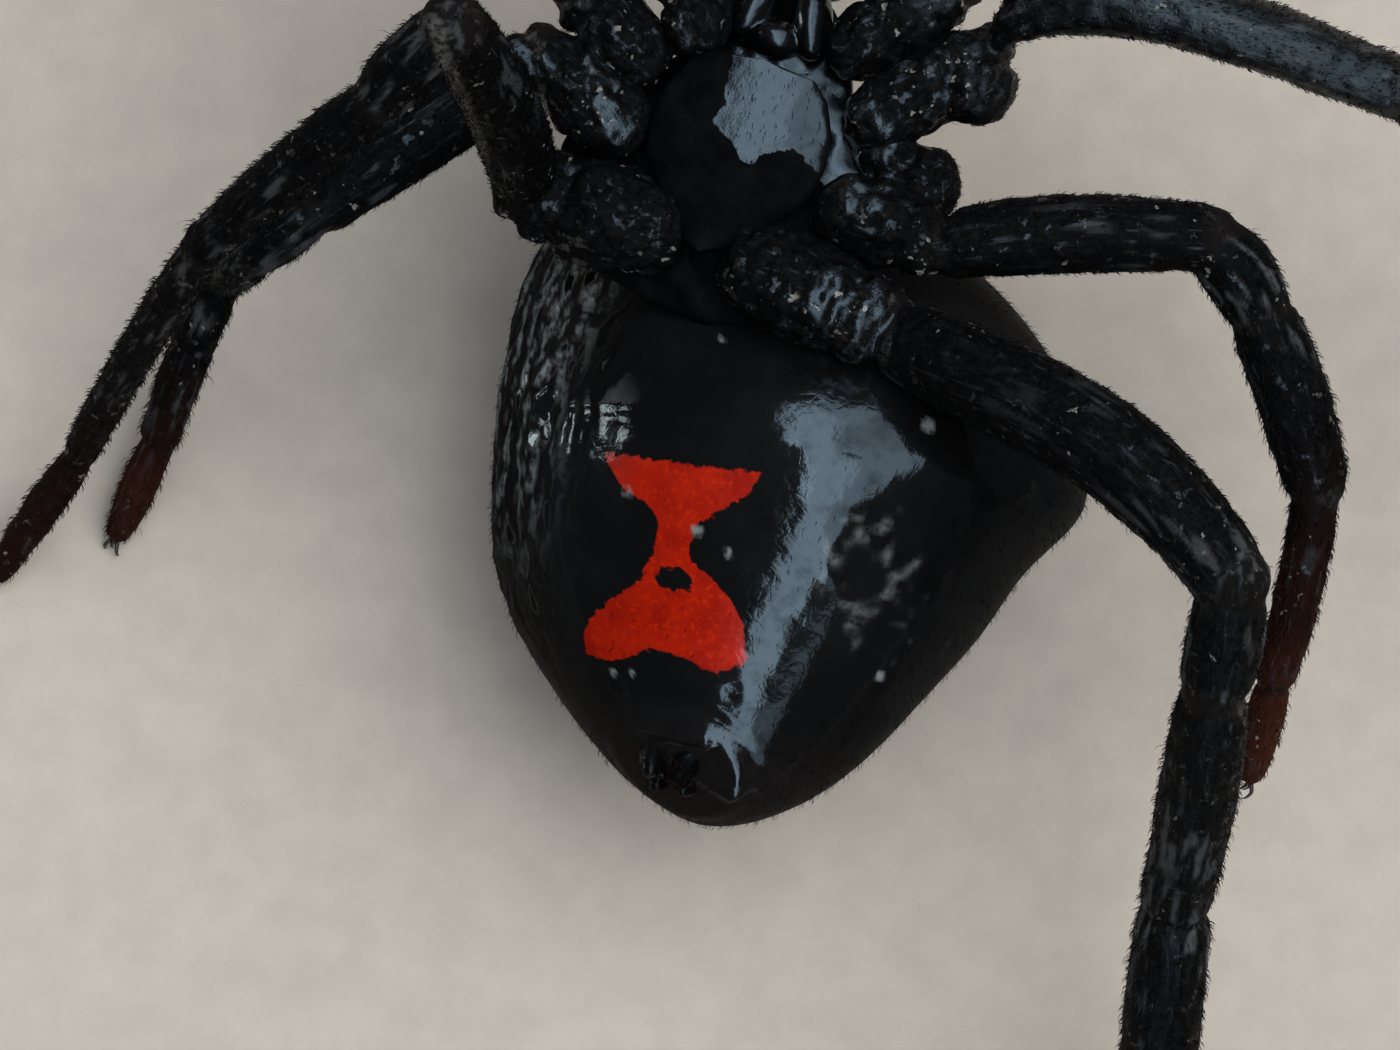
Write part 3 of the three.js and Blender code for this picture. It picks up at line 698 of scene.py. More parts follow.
# legs: each is one skin from hip to tip, with a collar and a soft joint between segments
legShape = {
    "around": 16,
    "voxel": 0.036,
    "smoothing": 3,
    "jointBall": 0.9,  # soft joint, as a share of the collar's radius
    "ballGrid": (20, 12),
    "bows": {"patella": 0.05, "tibia": 0.06, "metatarsus": 0.08, "tarsus": 0.0},
    # places along each segment as shares of its length, and radii
    "coxa": ((0.02, 0.34), (0.07, 0.43), (0.2, 0.5), (0.45, 0.54), (0.6, 0.53), (0.68, 0.5), (0.735, 0.42),
             (0.775, 0.44), (0.84, 0.49), (0.93, 0.46), (0.98, 0.39)),
    "femur": ((0.015, 0.3), (0.035, 0.36), (0.08, 0.4), (0.2, 0.445), (0.38, 0.465), (0.6, 0.46), (0.8, 0.44),
              (0.93, 0.41), (0.975, 0.42), (0.995, 0.4)),
    "patella": ((0.04, 0.31), (0.12, 0.365), (0.3, 0.395), (0.6, 0.41), (0.85, 0.385), (0.96, 0.37)),
    "tibia": ((0.02, 0.29), (0.06, 0.345), (0.15, 0.375), (0.45, 0.39), (0.75, 0.375), (0.92, 0.35),
              (0.975, 0.355), (0.995, 0.33)),
    "metatarsus": ((0.015, 0.235), (0.04, 0.285), (0.1, 0.31), (0.4, 0.305), (0.75, 0.29), (0.95, 0.265),
                   (0.985, 0.27), (0.998, 0.25)),
    "tarsus": ((0.03, 0.19), (0.08, 0.24), (0.3, 0.26), (0.6, 0.25), (0.85, 0.205), (0.97, 0.165)),
    # rings beyond a segment's two ends: how far beyond and how wide, as shares of the end's radius
    "nearCap": ((-0.35, 0.55),),
    "farCap": ((0.28, 0.8), (0.5, 0.4)),
    # hips that bulge on one side: the middle of each swelling and its radius
    "swellings": {
        "R1": [((-0.05, 6.1, 5.1), 0.42)],
        "L2": [((3.36, 5.32, 5.4), 0.5)],
        "L3": [((2.72, 4.15, 5.2), 0.48), ((2.3, 4.5, 5.2), 0.4)],
    },
    # height of the skin's own unevenness: broad dents, then wrinkles, which are deepest on the hip segments;
    # a noise is its scale and its seed
    "dents": 0.018,
    "dentNoise": (1.7, 3.0),
    "hipDents": 3,  # as a multiple of the dents
    "hipDentNoise": (2.3, 41.0),
    "wrinkles": 0.02,
    "hipWrinkles": 0.045,
    "wrinkleNoise": (5.5, 13.0),
    "hipEnds": (0.9, 1.25),  # in segments from the body
}

legMarks = {
    # where along the leg, in segments from the body, black gives way to brown; and how far
    "browning": {
        "L1": (4.2, 5.6, 0.8), "L2": (4.0, 5.6, 0.8), "L3": (3.3, 5.5, 0.85), "L4": (4.3, 5.8, 0.8),
        "R1": (4.2, 5.6, 0.8), "R2": (3.6, 5.2, 0.7), "R3": (4.1, 5.5, 0.75), "R4": (4.0, 6.0, 0.55),
    },
    # how dull each leg's segments are, from the coxa to the tarsus
    "dullness": {
        "L1": (0.8, 0.2, 0.5, 0.5, 0.5, 0.5), "L2": (0.8, 0.25, 0.5, 0.5, 0.5, 0.5),
        "L3": (0.85, 0.9, 0.9, 0.9, 0.85, 0.8), "L4": (0.9, 0.85, 0.75, 0.75, 0.75, 0.8),
        "R1": (0.8, 0.3, 0.5, 0.5, 0.5, 0.5), "R2": (0.8, 0.45, 0.5, 0.5, 0.5, 0.5),
        "R3": (0.8, 0.85, 0.85, 0.85, 0.85, 0.8), "R4": (0.85, 0.8, 0.9, 0.9, 0.9, 0.85),
    },
    # a painted highlight line on the skin, seen from above: its corners, its strength and how high the skin
    # under it lies
    "paintedHighlightLines": {"R4": [(-3.15, 5.75), (-2.98, 5.8), (-2.5, 4.5), (-2.46, 4.3), (-2.65, 4.3)]},
    "paintedHighlightLine": {"strength": 0.25, "level": 5.8, "ragged": 0.03, "noise": (6.0, 47.0)},
    # painted highlights: fine pale streaks along the limbs, in patches, that begin beyond the hip
    "frost": {
        "streaks": ((8.0, 8.0, 1.3), 81.0),
        "finer": ((17.0, 17.0, 3.0), 87.0),
        "patches": (1.4, 83.0),
        "begins": (1.0, 2.5),
    },
    # flecks beside each hinge, partly bare membrane and partly painted glints: how many, how far along at
    # most, and radii
    "flecks": {"count": 3, "shift": 0.12, "radii": (0.02, 0.05)},
    "softJoint": (0.8, 1.12),  # where the soft skin round a joint ends, in radii of the limb
}

# wet patches that mirror the windows: their corners, seen from above, at the level of the hips
wetPatches = [
    [(0.42, 5.86), (1.81, 5.78), (2.17, 5.11), (2.35, 4.75), (2.26, 3.65), (1.74, 3.79), (1.52, 4.18),
     (1.11, 4.56), (0.51, 4.32), (0.19, 4.85)],
    [(1.2, 2.71), (1.56, 3.09), (2.17, 3.16), (2.41, 2.71), (2.29, 1.99), (2.59, 1.5), (2.47, 1.17),
     (1.93, 1.74), (1.62, 2.11)],
    [(-2.35, 5.84), (-2.05, 6.02), (-1.74, 5.6), (-1.83, 4.97), (-2.17, 5.02)],
    [(-1.44, 5.84), (-1.2, 5.78), (-0.72, 4.51), (-0.94, 4.39), (-1.26, 4.87)],
]


def insideOf(places, corners):
    # how far each place lies inside a many-sided patch, negative outside it
    x, y = places[:, 0], places[:, 1]
    nearest = np.full(len(places), np.inf)
    inside = np.zeros(len(places), dtype=bool)
    for (x0, y0), (x1, y1) in zip(corners, corners[1:] + corners[:1]):
        dx, dy = x1 - x0, y1 - y0
        share = np.clip(((x - x0) * dx + (y - y0) * dy) / (dx * dx + dy * dy), 0, 1)
        nearest = np.minimum(nearest, np.hypot(x - x0 - share * dx, y - y0 - share * dy))
        crosses = (y0 > y) != (y1 > y)
        inside ^= crosses & (x < x0 + (y - y0) * dx / (dy if dy else 1))
    return np.where(inside, nearest, -nearest)


def wetness(points):
    # one on the wet patches and nothing elsewhere, with ragged edges
    ragged = ripple(points, 0.09, 3.5, 17.0) + ripple(points, 0.05, 9.0, 29.0)
    depth = np.max([insideOf(points, corners) for corners in wetPatches], axis=0)
    return smoothStep(-0.02, 0.03, depth + ragged)


def segmentTube(part):
    length, thick = part["length"], part["thick"]
    stations = [(share * length, radius * thick) for share, radius in legShape[part["name"]]]
    (low, lowRadius), (high, highRadius) = stations[0], stations[-1]
    near = [(low + step * lowRadius, share * lowRadius) for step, share in legShape["nearCap"]]
    far = [(high + step * highRadius, share * highRadius) for step, share in legShape["farCap"]]
    tube = turnedTube(near + stations + far, legShape["around"])
    points = pointsOf(tube)
    points[:, 1] += bowAt(part, points[:, 2] / length)
    setPoints(tube, points)
    tube.data.transform(part["matrix"])
    subdivide(tube, 1)
    return tube


def jointBall(place, radius):
    deselectAll()
    segments, rings = legShape["ballGrid"]
    bpy.ops.mesh.primitive_uv_sphere_add(segments=segments, ring_count=rings, radius=radius)
    ball = bpy.context.object
    ball.data.transform(Matrix.Translation(place))
    return ball


def endOf(part):
    return legShape[part["name"]][-1][1] * part["thick"]


def legFields(points, chain):
    # at each point of a leg: segments from the body, place on the straightened limb, and the way along it
    count = len(points)
    best = np.full(count, np.inf)
    fields = {"reach": np.zeros(count), "limb": np.zeros((count, 3)), "lie": np.zeros((count, 3))}
    covered = 0.0
    for number, part in enumerate(chain):
        local = localPoints(points, part["matrix"])
        share = np.clip(local[:, 2] / part["length"], 0, 1)
        local[:, 1] -= bowAt(part, share)
        beyond = local[:, 2] - share * part["length"]
        away = np.sqrt(local[:, 0] ** 2 + local[:, 1] ** 2 + beyond ** 2)
        nearer = away < best
        best = np.where(nearer, away, best)
        fields["reach"] = np.where(nearer, number + share, fields["reach"])
        local[:, 2] += covered
        fields["limb"][nearer] = local[nearer]
        fields["lie"][nearer] = np.array(part["matrix"].to_3x3() @ Vector((0, 0, 1)))
        covered += part["length"]
    return fields


def jointFields(points, chain, seed):
    # the soft skin round each joint, and small pale flecks beside the hinge, partly bare membrane and partly
    # painted glints, no two joints alike
    joint, knuckle = np.zeros(len(points)), np.zeros(len(points))
    flecks = legMarks["flecks"]
    draw = np.random.default_rng(seed)
    for before, part in zip(chain, chain[1:]):
        centre = np.array(part["matrix"].translation)
        radius = endOf(before)
        away = np.linalg.norm(points - centre, axis=1) / radius
        joint = np.maximum(joint, 1 - smoothStep(*legMarks["softJoint"], away))
        for _ in range(flecks["count"]):
            turn = draw.uniform(0, 2 * math.pi)
            shift = draw.uniform(-flecks["shift"], flecks["shift"])
            size = draw.uniform(*flecks["radii"])
            spot = part["matrix"] @ Vector((radius * math.cos(turn), radius * math.sin(turn), shift))
            fleck = 1 - smoothStep(0.5 * size, size, np.linalg.norm(points - np.array(spot), axis=1))
            if part["name"] != "femur":
                knuckle = np.maximum(knuckle, fleck)
    return joint, knuckle


def unevenLeg(leg, chain):
    points = pointsOf(leg)
    hip = 1 - smoothStep(*legShape["hipEnds"], legFields(points, chain)["reach"])
    hipDents = legShape["hipDents"] * hip * noiseAt(points, *legShape["hipDentNoise"])
    rise = legShape["dents"] * (noiseAt(points, *legShape["dentNoise"]) + hipDents)
    wrinkles = legShape["wrinkles"] + legShape["hipWrinkles"] * hip
    rise += wrinkles * noiseAt(points, *legShape["wrinkleNoise"])
    raised(leg, rise)


def legSkin(name, chain):
    parts = [segmentTube(part) for part in chain]
    for before, part in zip(chain, chain[1:]):
        parts.append(jointBall(part["matrix"].translation, endOf(before) * legShape["jointBall"]))
    for place, radius in legShape["swellings"].get(name, []):
        parts.append(jointBall(place, radius))
    leg = fused(joined(parts), legShape["voxel"], legShape["smoothing"])
    unevenLeg(leg, chain)
    setPoints(leg, aboveFloor(pointsOf(leg)))
    return leg


# a painted highlight: a pale line along the upper edge of a steep femur
def paintedHighlightLineAt(points, name, reach):
    line = legMarks["paintedHighlightLine"]
    ragged = line["ragged"] * noiseAt(points, *line["noise"])
    stripe = smoothStep(-0.02, 0.04, insideOf(points, legMarks["paintedHighlightLines"][name]) + ragged)
    return line["strength"] * (stripe * (reach > 1) * (points[:, 2] > line["level"]))


# painted highlights: pale streaks along the limbs
def frostAt(points, limb, reach):
    frost = legMarks["frost"]
    streaks = noiseAt(limb, *frost["streaks"]) + 0.5 * noiseAt(limb, *frost["finer"])
    patches = smoothStep(-0.15, 0.25, noiseAt(points, *frost["patches"]))
    return smoothStep(0.1, 0.45, streaks) * patches * smoothStep(*frost["begins"], reach)


def markLeg(leg, name, chain, seed):
    # everything that the skin's material and its hairs read, as attributes
    points = pointsOf(leg)
    fields = legFields(points, chain)
    fields["joint"], fields["knuckle"] = jointFields(points, chain, seed)
    reach = fields["reach"]
    begins, ends, most = legMarks["browning"][name]
    fields["brown"] = most * smoothStep(begins, ends, reach)
    # the painted highlight line is drawn along with the pale flecks
    if name in legMarks["paintedHighlightLines"]:
        fields["knuckle"] = np.maximum(fields["knuckle"], paintedHighlightLineAt(points, name, reach))
    fields["frost"] = frostAt(points, fields["limb"], reach) * (1 - fields["brown"])
    fields["wet"] = wetness(points) * (1 - smoothStep(1.0, 1.3, reach))
    middles = np.arange(len(chain)) + 0.5
    fields["dull"] = np.interp(reach, middles, legMarks["dullness"][name]) * (1 - fields["wet"])
    for key in ("joint", "knuckle", "reach", "limb", "frost", "brown", "dull", "wet"):
        setAttribute(leg, key, fields[key])
    return fields


def buildLeg(name, material, coatMaterial):
    chain = legChain(name)
    leg = legSkin(name, chain)
    seed = ord(name[0]) + int(name[1])
    fields = markLeg(leg, name, chain, seed)
    reach, limb = fields["reach"], fields["limb"]
    density = smoothStep(0.3, 1.4, reach) * (1 - fields["joint"]) + 0.02
    turn = np.arctan2(limb[:, 0], limb[:, 1]) / (2 * math.pi) + 0.5
    unwrap = np.stack([turn, reach / len(chain)], axis=1)
    carried = {key: fields[key] for key in ("brown", "frost")}
    total = sum(part["length"] for part in chain)
    coat = dict(legCoat, lengthAt=0.8 + 0.5 * smoothStep(1.5, 4.0, reach))
    for title, changes, later in (("bristles", {}, 0), ("hairs", longHairs, 100)):
        chosen = dict(coat, **changes)
        chosen.update(seed=seed + later, count=int(chosen["perMillimetre"] * total))
        growBristles(f"{title}_{name}", leg, chosen, density, fields["lie"], unwrap, coatMaterial, "leg_tip",
                     carried)
    solids = ("coxa", "femur", "patella_tibia", "metatarsus", "tarsus")
    nodes = [f"leg_{name}_{solid}" for solid in solids]
    finishPiece(leg, f"leg_{name}", material, "cuticle", *nodes)
    addClaws(name, chain[-1])


# hairs: sizes in millimetres, tilt from the skin and spread about the way along in degrees;
# the upper half leans by the tilt times the bend
legCoat = {
    "perMillimetre": 300,
    "length": 0.095,
    "lengthSpread": 0.4,
    "radius": 0.0075,
    "tilt": 27,
    "tiltSpread": 9,
    "bend": 0.45,
    "spread": 10,
    "sunk": 0.02,
}
longHairs = {"perMillimetre": 4, "length": 0.17, "radius": 0.0045, "tilt": 45}


clawShape = {
    # side and size of each: two large claws and a smaller middle one
    "claws": ((-1, 1.0), (1, 1.0), (0, 0.65)),
    "beyond": 0.06,  # the leg's end
    # of each point: how far to the side and up, then how much higher and farther along, by the claw's size
    "path": ((0.05, 0.02, 0.0, 0.0), (0.09, 0.03, 0.0, 0.1),
             (0.1, 0.0, -0.03, 0.17), (0.1, 0.0, -0.09, 0.18)),
    "radii": (0.035, 0.028, 0.018),
    "tip": 0.006,
    "lowest": 0.03,
    "around": 8,
    "dark": (0.012, 0.006, 0.004, 1),
    "light": (0.035, 0.014, 0.008, 1),
    "roughness": 0.3,
}


def addClaws(name, lastSegment):
    matrix, length = lastSegment["matrix"], lastSegment["length"] + clawShape["beyond"]
    claws = []
    for side, size in clawShape["claws"]:
        path = []
        for out, up, rise, reach in clawShape["path"]:
            point = matrix @ Vector((out * side, up + rise * size, length + reach * size))
            point.z = max(point.z, clawShape["lowest"])
            path.append(point)
        radii = [radius * size for radius in clawShape["radii"]] + [clawShape["tip"]]
        claws.append(tubeThrough(path, radii, clawShape["around"]))
    claw = joined(claws)
    smoothShade(claw)
    finishPiece(claw, f"claws_{name}", clawMaterial(), "leg_tip")


def clawMaterial():
    material = bpy.data.materials.get("claw")
    if material is None:
        material, start, fill = newMaterial("claw")
        tone = inMillimetres(start).noise(8.0).step(0.3, 0.7).blend(clawShape["dark"], clawShape["light"])
        fill({"Base Color": tone, "Roughness": clawShape["roughness"]})
    return material


legLook = {
    "black": (0.0018, 0.0019, 0.0023, 1),
    "sheen": (0.0050, 0.0052, 0.0058, 1),
    # streak is the colour of the painted highlight streaks
    "streak": (0.050, 0.055, 0.063, 1),
    "darkBrown": (0.013, 0.0048, 0.0032, 1),
    "rust": (0.052, 0.0150, 0.0072, 1),
    "membrane": (0.010, 0.0085, 0.0080, 1),
    # fleck is the pale colour of the flecks beside the joints, partly membrane and partly painted glint
    "fleck": (0.27, 0.27, 0.26, 1),
    "hairs": ((0.0014, 0.0014, 0.0017, 1), (0.0036, 0.0034, 0.0034, 1)),
    "brownHair": (0.034, 0.0105, 0.0058, 1),
    "hairRoughness": 0.5,
    "specular": 0.45,
    "hairSpecular": 0.03,
    # noises, in repeats to the millimetre
    "cloud": 1.6,
    "grain": 14.0,
    "fine": 38.0,
    "pores": 11.0,
    "streaks": (11.0, 11.0, 1.6),  # across the limb both ways, then along it
    "relief": 0.016,
}


def legMaterial():
    material, start, fill = newMaterial("legShell")
    place = inMillimetres(start)
    brown, joint, knuckle = (attribute(start, key) for key in ("brown", "joint", "knuckle"))
    limb = start.node("Attribute", {"attribute_name": "limb"}, out="Vector")
    cloud = place.noise(legLook["cloud"], 3.0)
    grain = place.noise(legLook["grain"], 4.0)
    streaks = start.node("Mapping", {}, {"Vector": limb, "Scale": legLook["streaks"]}).noise(1.0, 4.0, 0.6)
    # black, then dark brown and rust towards the tips
    tone = grain.step(0.35, 0.75).blend(legLook["black"], legLook["sheen"])
    tone = (brown + (cloud - 0.5) * 0.5 * brown).step(0.0, 0.55).blend(tone, legLook["darkBrown"])
    tone = (brown + (cloud - 0.5) * 0.6 * brown).step(0.55, 1.05).blend(tone, legLook["rust"])
    tone = (joint * 0.6).blend(tone, legLook["membrane"])
    # painted highlights: pale streaks along the limb, and glint flecks that thicken towards the hips
    hip = 1 - attribute(start, "reach").step(0.9, 1.3)
    paintedStreakHighlights = (streaks.step(0.6, 0.7) * cloud.step(0.45, 0.6) * 0.4).most(attribute(start, "frost"))
    tone = paintedStreakHighlights.blend(tone, legLook["streak"])
    flecks = (place.noise(7.0, 2.0) + hip * 0.03).step(0.67, 0.71) * place.noise(1.3, 2.0).step(0.48, 0.58)
    # painted glints: pale flecks beside the hinges, the painted highlight line and scattered glint flecks
    tone = (knuckle * grain.step(0.3, 0.6)).most(flecks * 0.7).blend(tone, legLook["fleck"])
    pores = place.cells(legLook["pores"]).step(0.05, 0.3)
    height = grain * 0.3 + pores * 0.4 + streaks * 0.9 + place.noise(legLook["fine"], 2.0) * 0.3
    relief = height.bump(legLook["relief"], 0.9)
    fill({
        "Base Color": tone,
        "Roughness": streaks.step(0.3, 0.7) * 0.2 + 0.22 - attribute(start, "wet") * 0.08,
        "Normal": relief,
        "Specular IOR Level": legLook["specular"],
    })
    specks = (place.noise(6.0, 3.0) + hip * 0.06).step(0.62, 0.68)
    dull = attribute(start, "dull") * (1.25 - streaks.step(0.52, 0.72) * 0.5 - specks * 0.9)
    dulled(material, start, dull, tone, relief)
    return material


def bristleMaterial():
    material, start, fill = newMaterial("bristle")
    tone = inMillimetres(start).noise(5.0).step(0.3, 0.7).blend(*legLook["hairs"])
    # the painted highlight streaks carried on the hairs
    tone = (attribute(start, "frost") * 0.8).blend(tone, legLook["streak"])
    fill({
        "Base Color": attribute(start, "brown").step(0.2, 1.0).blend(tone, legLook["brownHair"]),
        "Roughness": legLook["hairRoughness"],
        "Specular IOR Level": legLook["hairSpecular"],
    })
    return material


legShell = legMaterial()
bristleLook = bristleMaterial()
for legName in legs["directions"]:
    buildLeg(legName, legShell, bristleLook)
print("legs, claws and their bristles are done")


# abdomen: a tall globe that narrows to the spinnerets, with the hourglass mark in its skin
abdomen = {
    "halfWidth": 3.86,
    "halfHeight": 3.08,
    "front": 3.5,
    "rear": 4.8,
    "rearLift": 0.5,
    "frontLean": 1.23,
    "rearLean": 0.36,
    "grid": (400, 236),  # how many points round each ring, and rings
    # features of the skin, in its own millimetres: side, then along from the widest place to the head
    "furrow": {"left": (-2.0, -0.02), "right": (1.1, -0.2), "wide": 0.035, "deep": 0.02},
    "rearBar": {"middle": (0.08, -3.72), "half": 0.42, "wide": 0.07, "high": 0.05},
    "pits": [((-0.95, -0.2), 0.13), ((0.75, -0.05), 0.12), ((-0.62, -3.25), 0.1), ((0.8, -3.1), 0.1)],
    "pitDepth": 0.012,
    "swirl": {"middle": (2.15, -1.35), "radius": 0.3, "wide": 0.07, "high": 0.02},
    "drawnIn": {"at": -1.0, "long": 0.75, "deep": 0.2},
    # loose folds down the right flank: height, then scale and seed of the noise
    "folds": ((0.075, (2.6, 0.8, 2.6), 11.0), (0.045, (6.0, 2.4, 6.0), 23.0),
              (0.022, (12.0, 5.0, 12.0), 33.0)),
    "spinnerRings": {"radii": (0.82, 1.05), "wide": (0.11, 0.1), "high": (0.02, -0.015)},
    "frontNoise": (0.012, 2.5, 37.0),
    "skinNoise": (0.003, 4.0, 51.0),
    # seen from above: the middle and radius of each painted glint fleck
    "flecks": [((-0.88, 0.4), 0.07), ((-0.04, -0.06), 0.08), ((0.34, -0.34), 0.06), ((2.2, -1.85), 0.07),
               ((-1.06, -1.8), 0.05), ((-0.83, -1.8), 0.05), ((2.75, 1.2), 0.1), ((0.26, 2.25), 0.05)],
    "shoulder": {"at": (0.45, -3.5), "wide": 0.5, "high": 0.3},  # seen from above, beside the spinnerets
    "matt": [(-1.0, 2.8), (1.1, 2.8), (0.85, 1.1), (-0.9, 1.2)],  # the same, between the waist and the mark
    # the upright share of the normal between which the skin goes from dull to glossy, flatter on the folds
    "glossFrom": (0.68, 0.84),
    "foldGloss": (0.04, 0.08),
    "tailGloss": (0.66, 0.76),
    "dullest": 0.97,
    # powers of the outline, ahead and behind: to the side, upwards and downwards
    "ahead": {"half": (2.3, 0.5), "up": (1.35, 0.74), "down": (2, 0.5)},
    "behind": {"half": (1.35, 0.58), "up": (1.8, 0.6), "down": (1.5, 0.56)},
}


def abdomenSection(along):
    rear = along < 0
    size = {"half": abdomen["halfWidth"], "up": abdomen["halfHeight"], "down": abdomen["halfHeight"]}

    def fullness(part, key):
        power, root = abdomen[part][key]
        return np.maximum(0, 1 - np.abs(along) ** power) ** root
    section = {
        "y": np.where(rear, abdomen["rear"], abdomen["front"]) * along,
        "lean": np.where(rear, -abdomen["rearLean"] * np.sin(math.pi * along) ** 2,
                         -abdomen["frontLean"] * np.maximum(along, 0) ** 1.5),
        "middle": np.where(rear, abdomen["rearLift"] * along * along, 0),
    }
    for key, most in size.items():
        section[key] = most * np.where(rear, fullness("behind", key), fullness("ahead", key))
    return section


def bellyRelief(points):
    # how far each point of the abdomen rises, in millimetres, from its own frame's places
    x, y, z = points.T
    furrow = abdomen["furrow"]
    (x0, y0), (x1, y1) = furrow["left"], furrow["right"]
    share = np.clip((x - x0) / (x1 - x0), 0, 1)
    off = y - (y0 + (y1 - y0) * share) + 0.12 * np.sin(2.2 * x)
    ends = smoothStep(x0 - 0.3, x0 + 0.3, x) * (1 - smoothStep(x1 - 0.3, x1 + 0.3, x))
    rise = -ends * furrow["deep"] * bell(off, furrow["wide"])
    bar = abdomen["rearBar"]
    beyond = np.maximum(np.abs(x - bar["middle"][0]) - bar["half"], 0)
    rise += bar["high"] * bell(np.hypot(beyond, y - bar["middle"][1]), bar["wide"])
    for (px, py), radius in abdomen["pits"]:
        rise -= abdomen["pitDepth"] * bell(np.hypot(x - px, y - py), radius)
    swirl = abdomen["swirl"]
    dx, dy = x - swirl["middle"][0], y - swirl["middle"][1]
    away = np.hypot(dx, 0.7 * dy) * (1 + ripple(points, 0.25, 2.5, 71.0))
    broken = 0.5 + 0.5 * np.sin(2 * np.arctan2(dy, dx) + 6 * away)
    rise += swirl["high"] * broken * bell(away - swirl["radius"], swirl["wide"])
    rise *= smoothStep(0.0, 0.8, z)
    # the right flank, which faces the picture's left
    flank = (1 - smoothStep(-2.2, -1.0, x)) * smoothStep(-1.6, 0.3, z) * smoothStep(-3.8, -2.2, y)
    rise += flank * sum(ripple(points, *fold) for fold in abdomen["folds"])
    rise += smoothStep(0.3, 1.2, y) * smoothStep(-1.0, 0.5, z) * ripple(points, *abdomen["frontNoise"])
    # rings of skin round the spinnerets
    rings = abdomen["spinnerRings"]
    away = np.linalg.norm(points - np.array(spinnerShape["place"]), axis=1)
    for radius, wide, high in zip(rings["radii"], rings["wide"], rings["high"]):
        rise += high * bell(away - radius, wide)
    rise += ripple(points, *abdomen["skinNoise"])
    # the left flank is drawn in a little behind its middle
    drawnIn = abdomen["drawnIn"]
    rise -= drawnIn["deep"] * bell(y - drawnIn["at"], drawnIn["long"]) * smoothStep(1.6, 3.2, x)
    return rise


# the mark's edges, in the abdomen's own millimetres
hourglass = {
    "low": -3.1,
    "high": -0.3,
    "spanX": 1.5,  # to either side
    # at each place along: where the left and right edges stand
    "edges": [
        (-3.1, -1.08, 0.98), (-2.82, -1.18, 0.99), (-2.6, -1.12, 0.99), (-2.26, -0.79, 0.97),
        (-1.96, -0.4, 0.79), (-1.72, -0.29, 0.52), (-1.6, -0.23, 0.3), (-1.42, -0.21, 0.25),
        (-1.2, -0.24, 0.3), (-1.08, -0.34, 0.42), (-0.9, -0.72, 0.62), (-0.7, -0.98, 0.86),
        (-0.5, -1.13, 1.0), (-0.3, -1.2, 1.05),
    ],
    # at each place across: where the lower edge stands
    "lower": [(-1.5, -2.95), (-1.06, -2.99), (-0.8, -3.02), (-0.53, -2.94), (-0.18, -2.75), (0.2, -2.78),
              (0.45, -2.86), (0.66, -2.88), (0.97, -2.7), (1.5, -2.6)],
    "upper": [(-1.14, -0.51), (0.99, -0.38)],
    "spot": {"middle": (0.07, -1.86), "half": (0.25, 0.15)},  # bare skin inside the mark
    "softness": 0.035,
    "wander": 0.13,
    "ragged": 0.14,
}


def framePlaces(start, matrix):
    # object coordinates as millimetres in one of the body's own frames
    inverse = matrix.inverted()
    turn = inverse.to_euler("XYZ")
    shift = inverse @ Vector([-value / mm for value in workingOrigin])
    place = start.node("TexCoord", out="Object")
    return start.node("Mapping", {}, {
        "Vector": place, "Scale": (1 / mm,) * 3, "Rotation": tuple(turn), "Location": tuple(shift),
    })


def hourglassMask(start):
    # one inside the mark and nothing outside it
    place = framePlaces(start, abdomenFrame)
    made = start.node("SeparateXYZ", {}, {"Vector": place}).socket.node
    x, y, z = (Wire(start.tree, made.outputs[k]) for k in range(3))
    ragged = (place.noise(11.0, 3.0) - 0.5) * hourglass["ragged"]
    x = x + (place.noise(3.2, 3.0) - 0.5) * hourglass["wander"] + ragged
    y = y + (place.noise(3.2, 3.0, 0.6, 0.4) - 0.5) * hourglass["wander"] - ragged
    low, high, span = hourglass["low"], hourglass["high"], hourglass["spanX"]

    def edge(value, reach, stops, rise):
        # where the edge stands at each value, from pairs of the two; reach and rise are their spans
        ramped = [tuple((v - ends[0]) / (ends[1] - ends[0]) for v, ends in zip(stop, (reach, rise)))
                  for stop in stops]
        share = start.node("MapRange", {}, {"Value": value, "From Min": reach[0], "From Max": reach[1]})
        ramp = start.node("ValToRGB", {"stops": ramped}, {"Fac": share})
        return start.node("SeparateColor", {}, {"Color": ramp}) * (rise[1] - rise[0]) + rise[0]
    tall, wide = (low, high), (-span, span)
    left = edge(y, tall, [(at, side) for at, side, _ in hourglass["edges"]], wide)
    right = edge(y, tall, [(at, side) for at, _, side in hourglass["edges"]], wide)
    lower = edge(x, wide, hourglass["lower"], tall)
    (ax, ay), (bx, by) = hourglass["upper"]
    upper = ay + (x - ax) * ((by - ay) / (bx - ax))
    inside = z.step(0.2, 0.4)
    for margin in (x - left, right - x, y - lower, upper - y):
        inside = inside.least(margin.step(0, hourglass["softness"]))
    spot = zip((x, y), hourglass["spot"]["middle"], hourglass["spot"]["half"])
    dx, dy = ((value - middle) * (1 / half) for value, middle, half in spot)
    return inside.least((dx * dx + dy * dy).step(0.8, 1.15)), place


abdomenLook = {
    "black": (0.0035, 0.0037, 0.0042, 1),
    "slate": (0.0055, 0.0062, 0.0074, 1),
    "brown": (0.013, 0.0095, 0.0080, 1),
    # pale is the colour of the painted glints on the flank and the belly
    "pale": (0.20, 0.236, 0.256, 1),
    "red": (0.40, 0.0115, 0.0008, 1),
    "deepRed": (0.28, 0.006, 0.0006, 1),
    "scarlet": (0.50, 0.019, 0.001, 1),
    "relief": 0.006,
    "waves": 0.007,
}


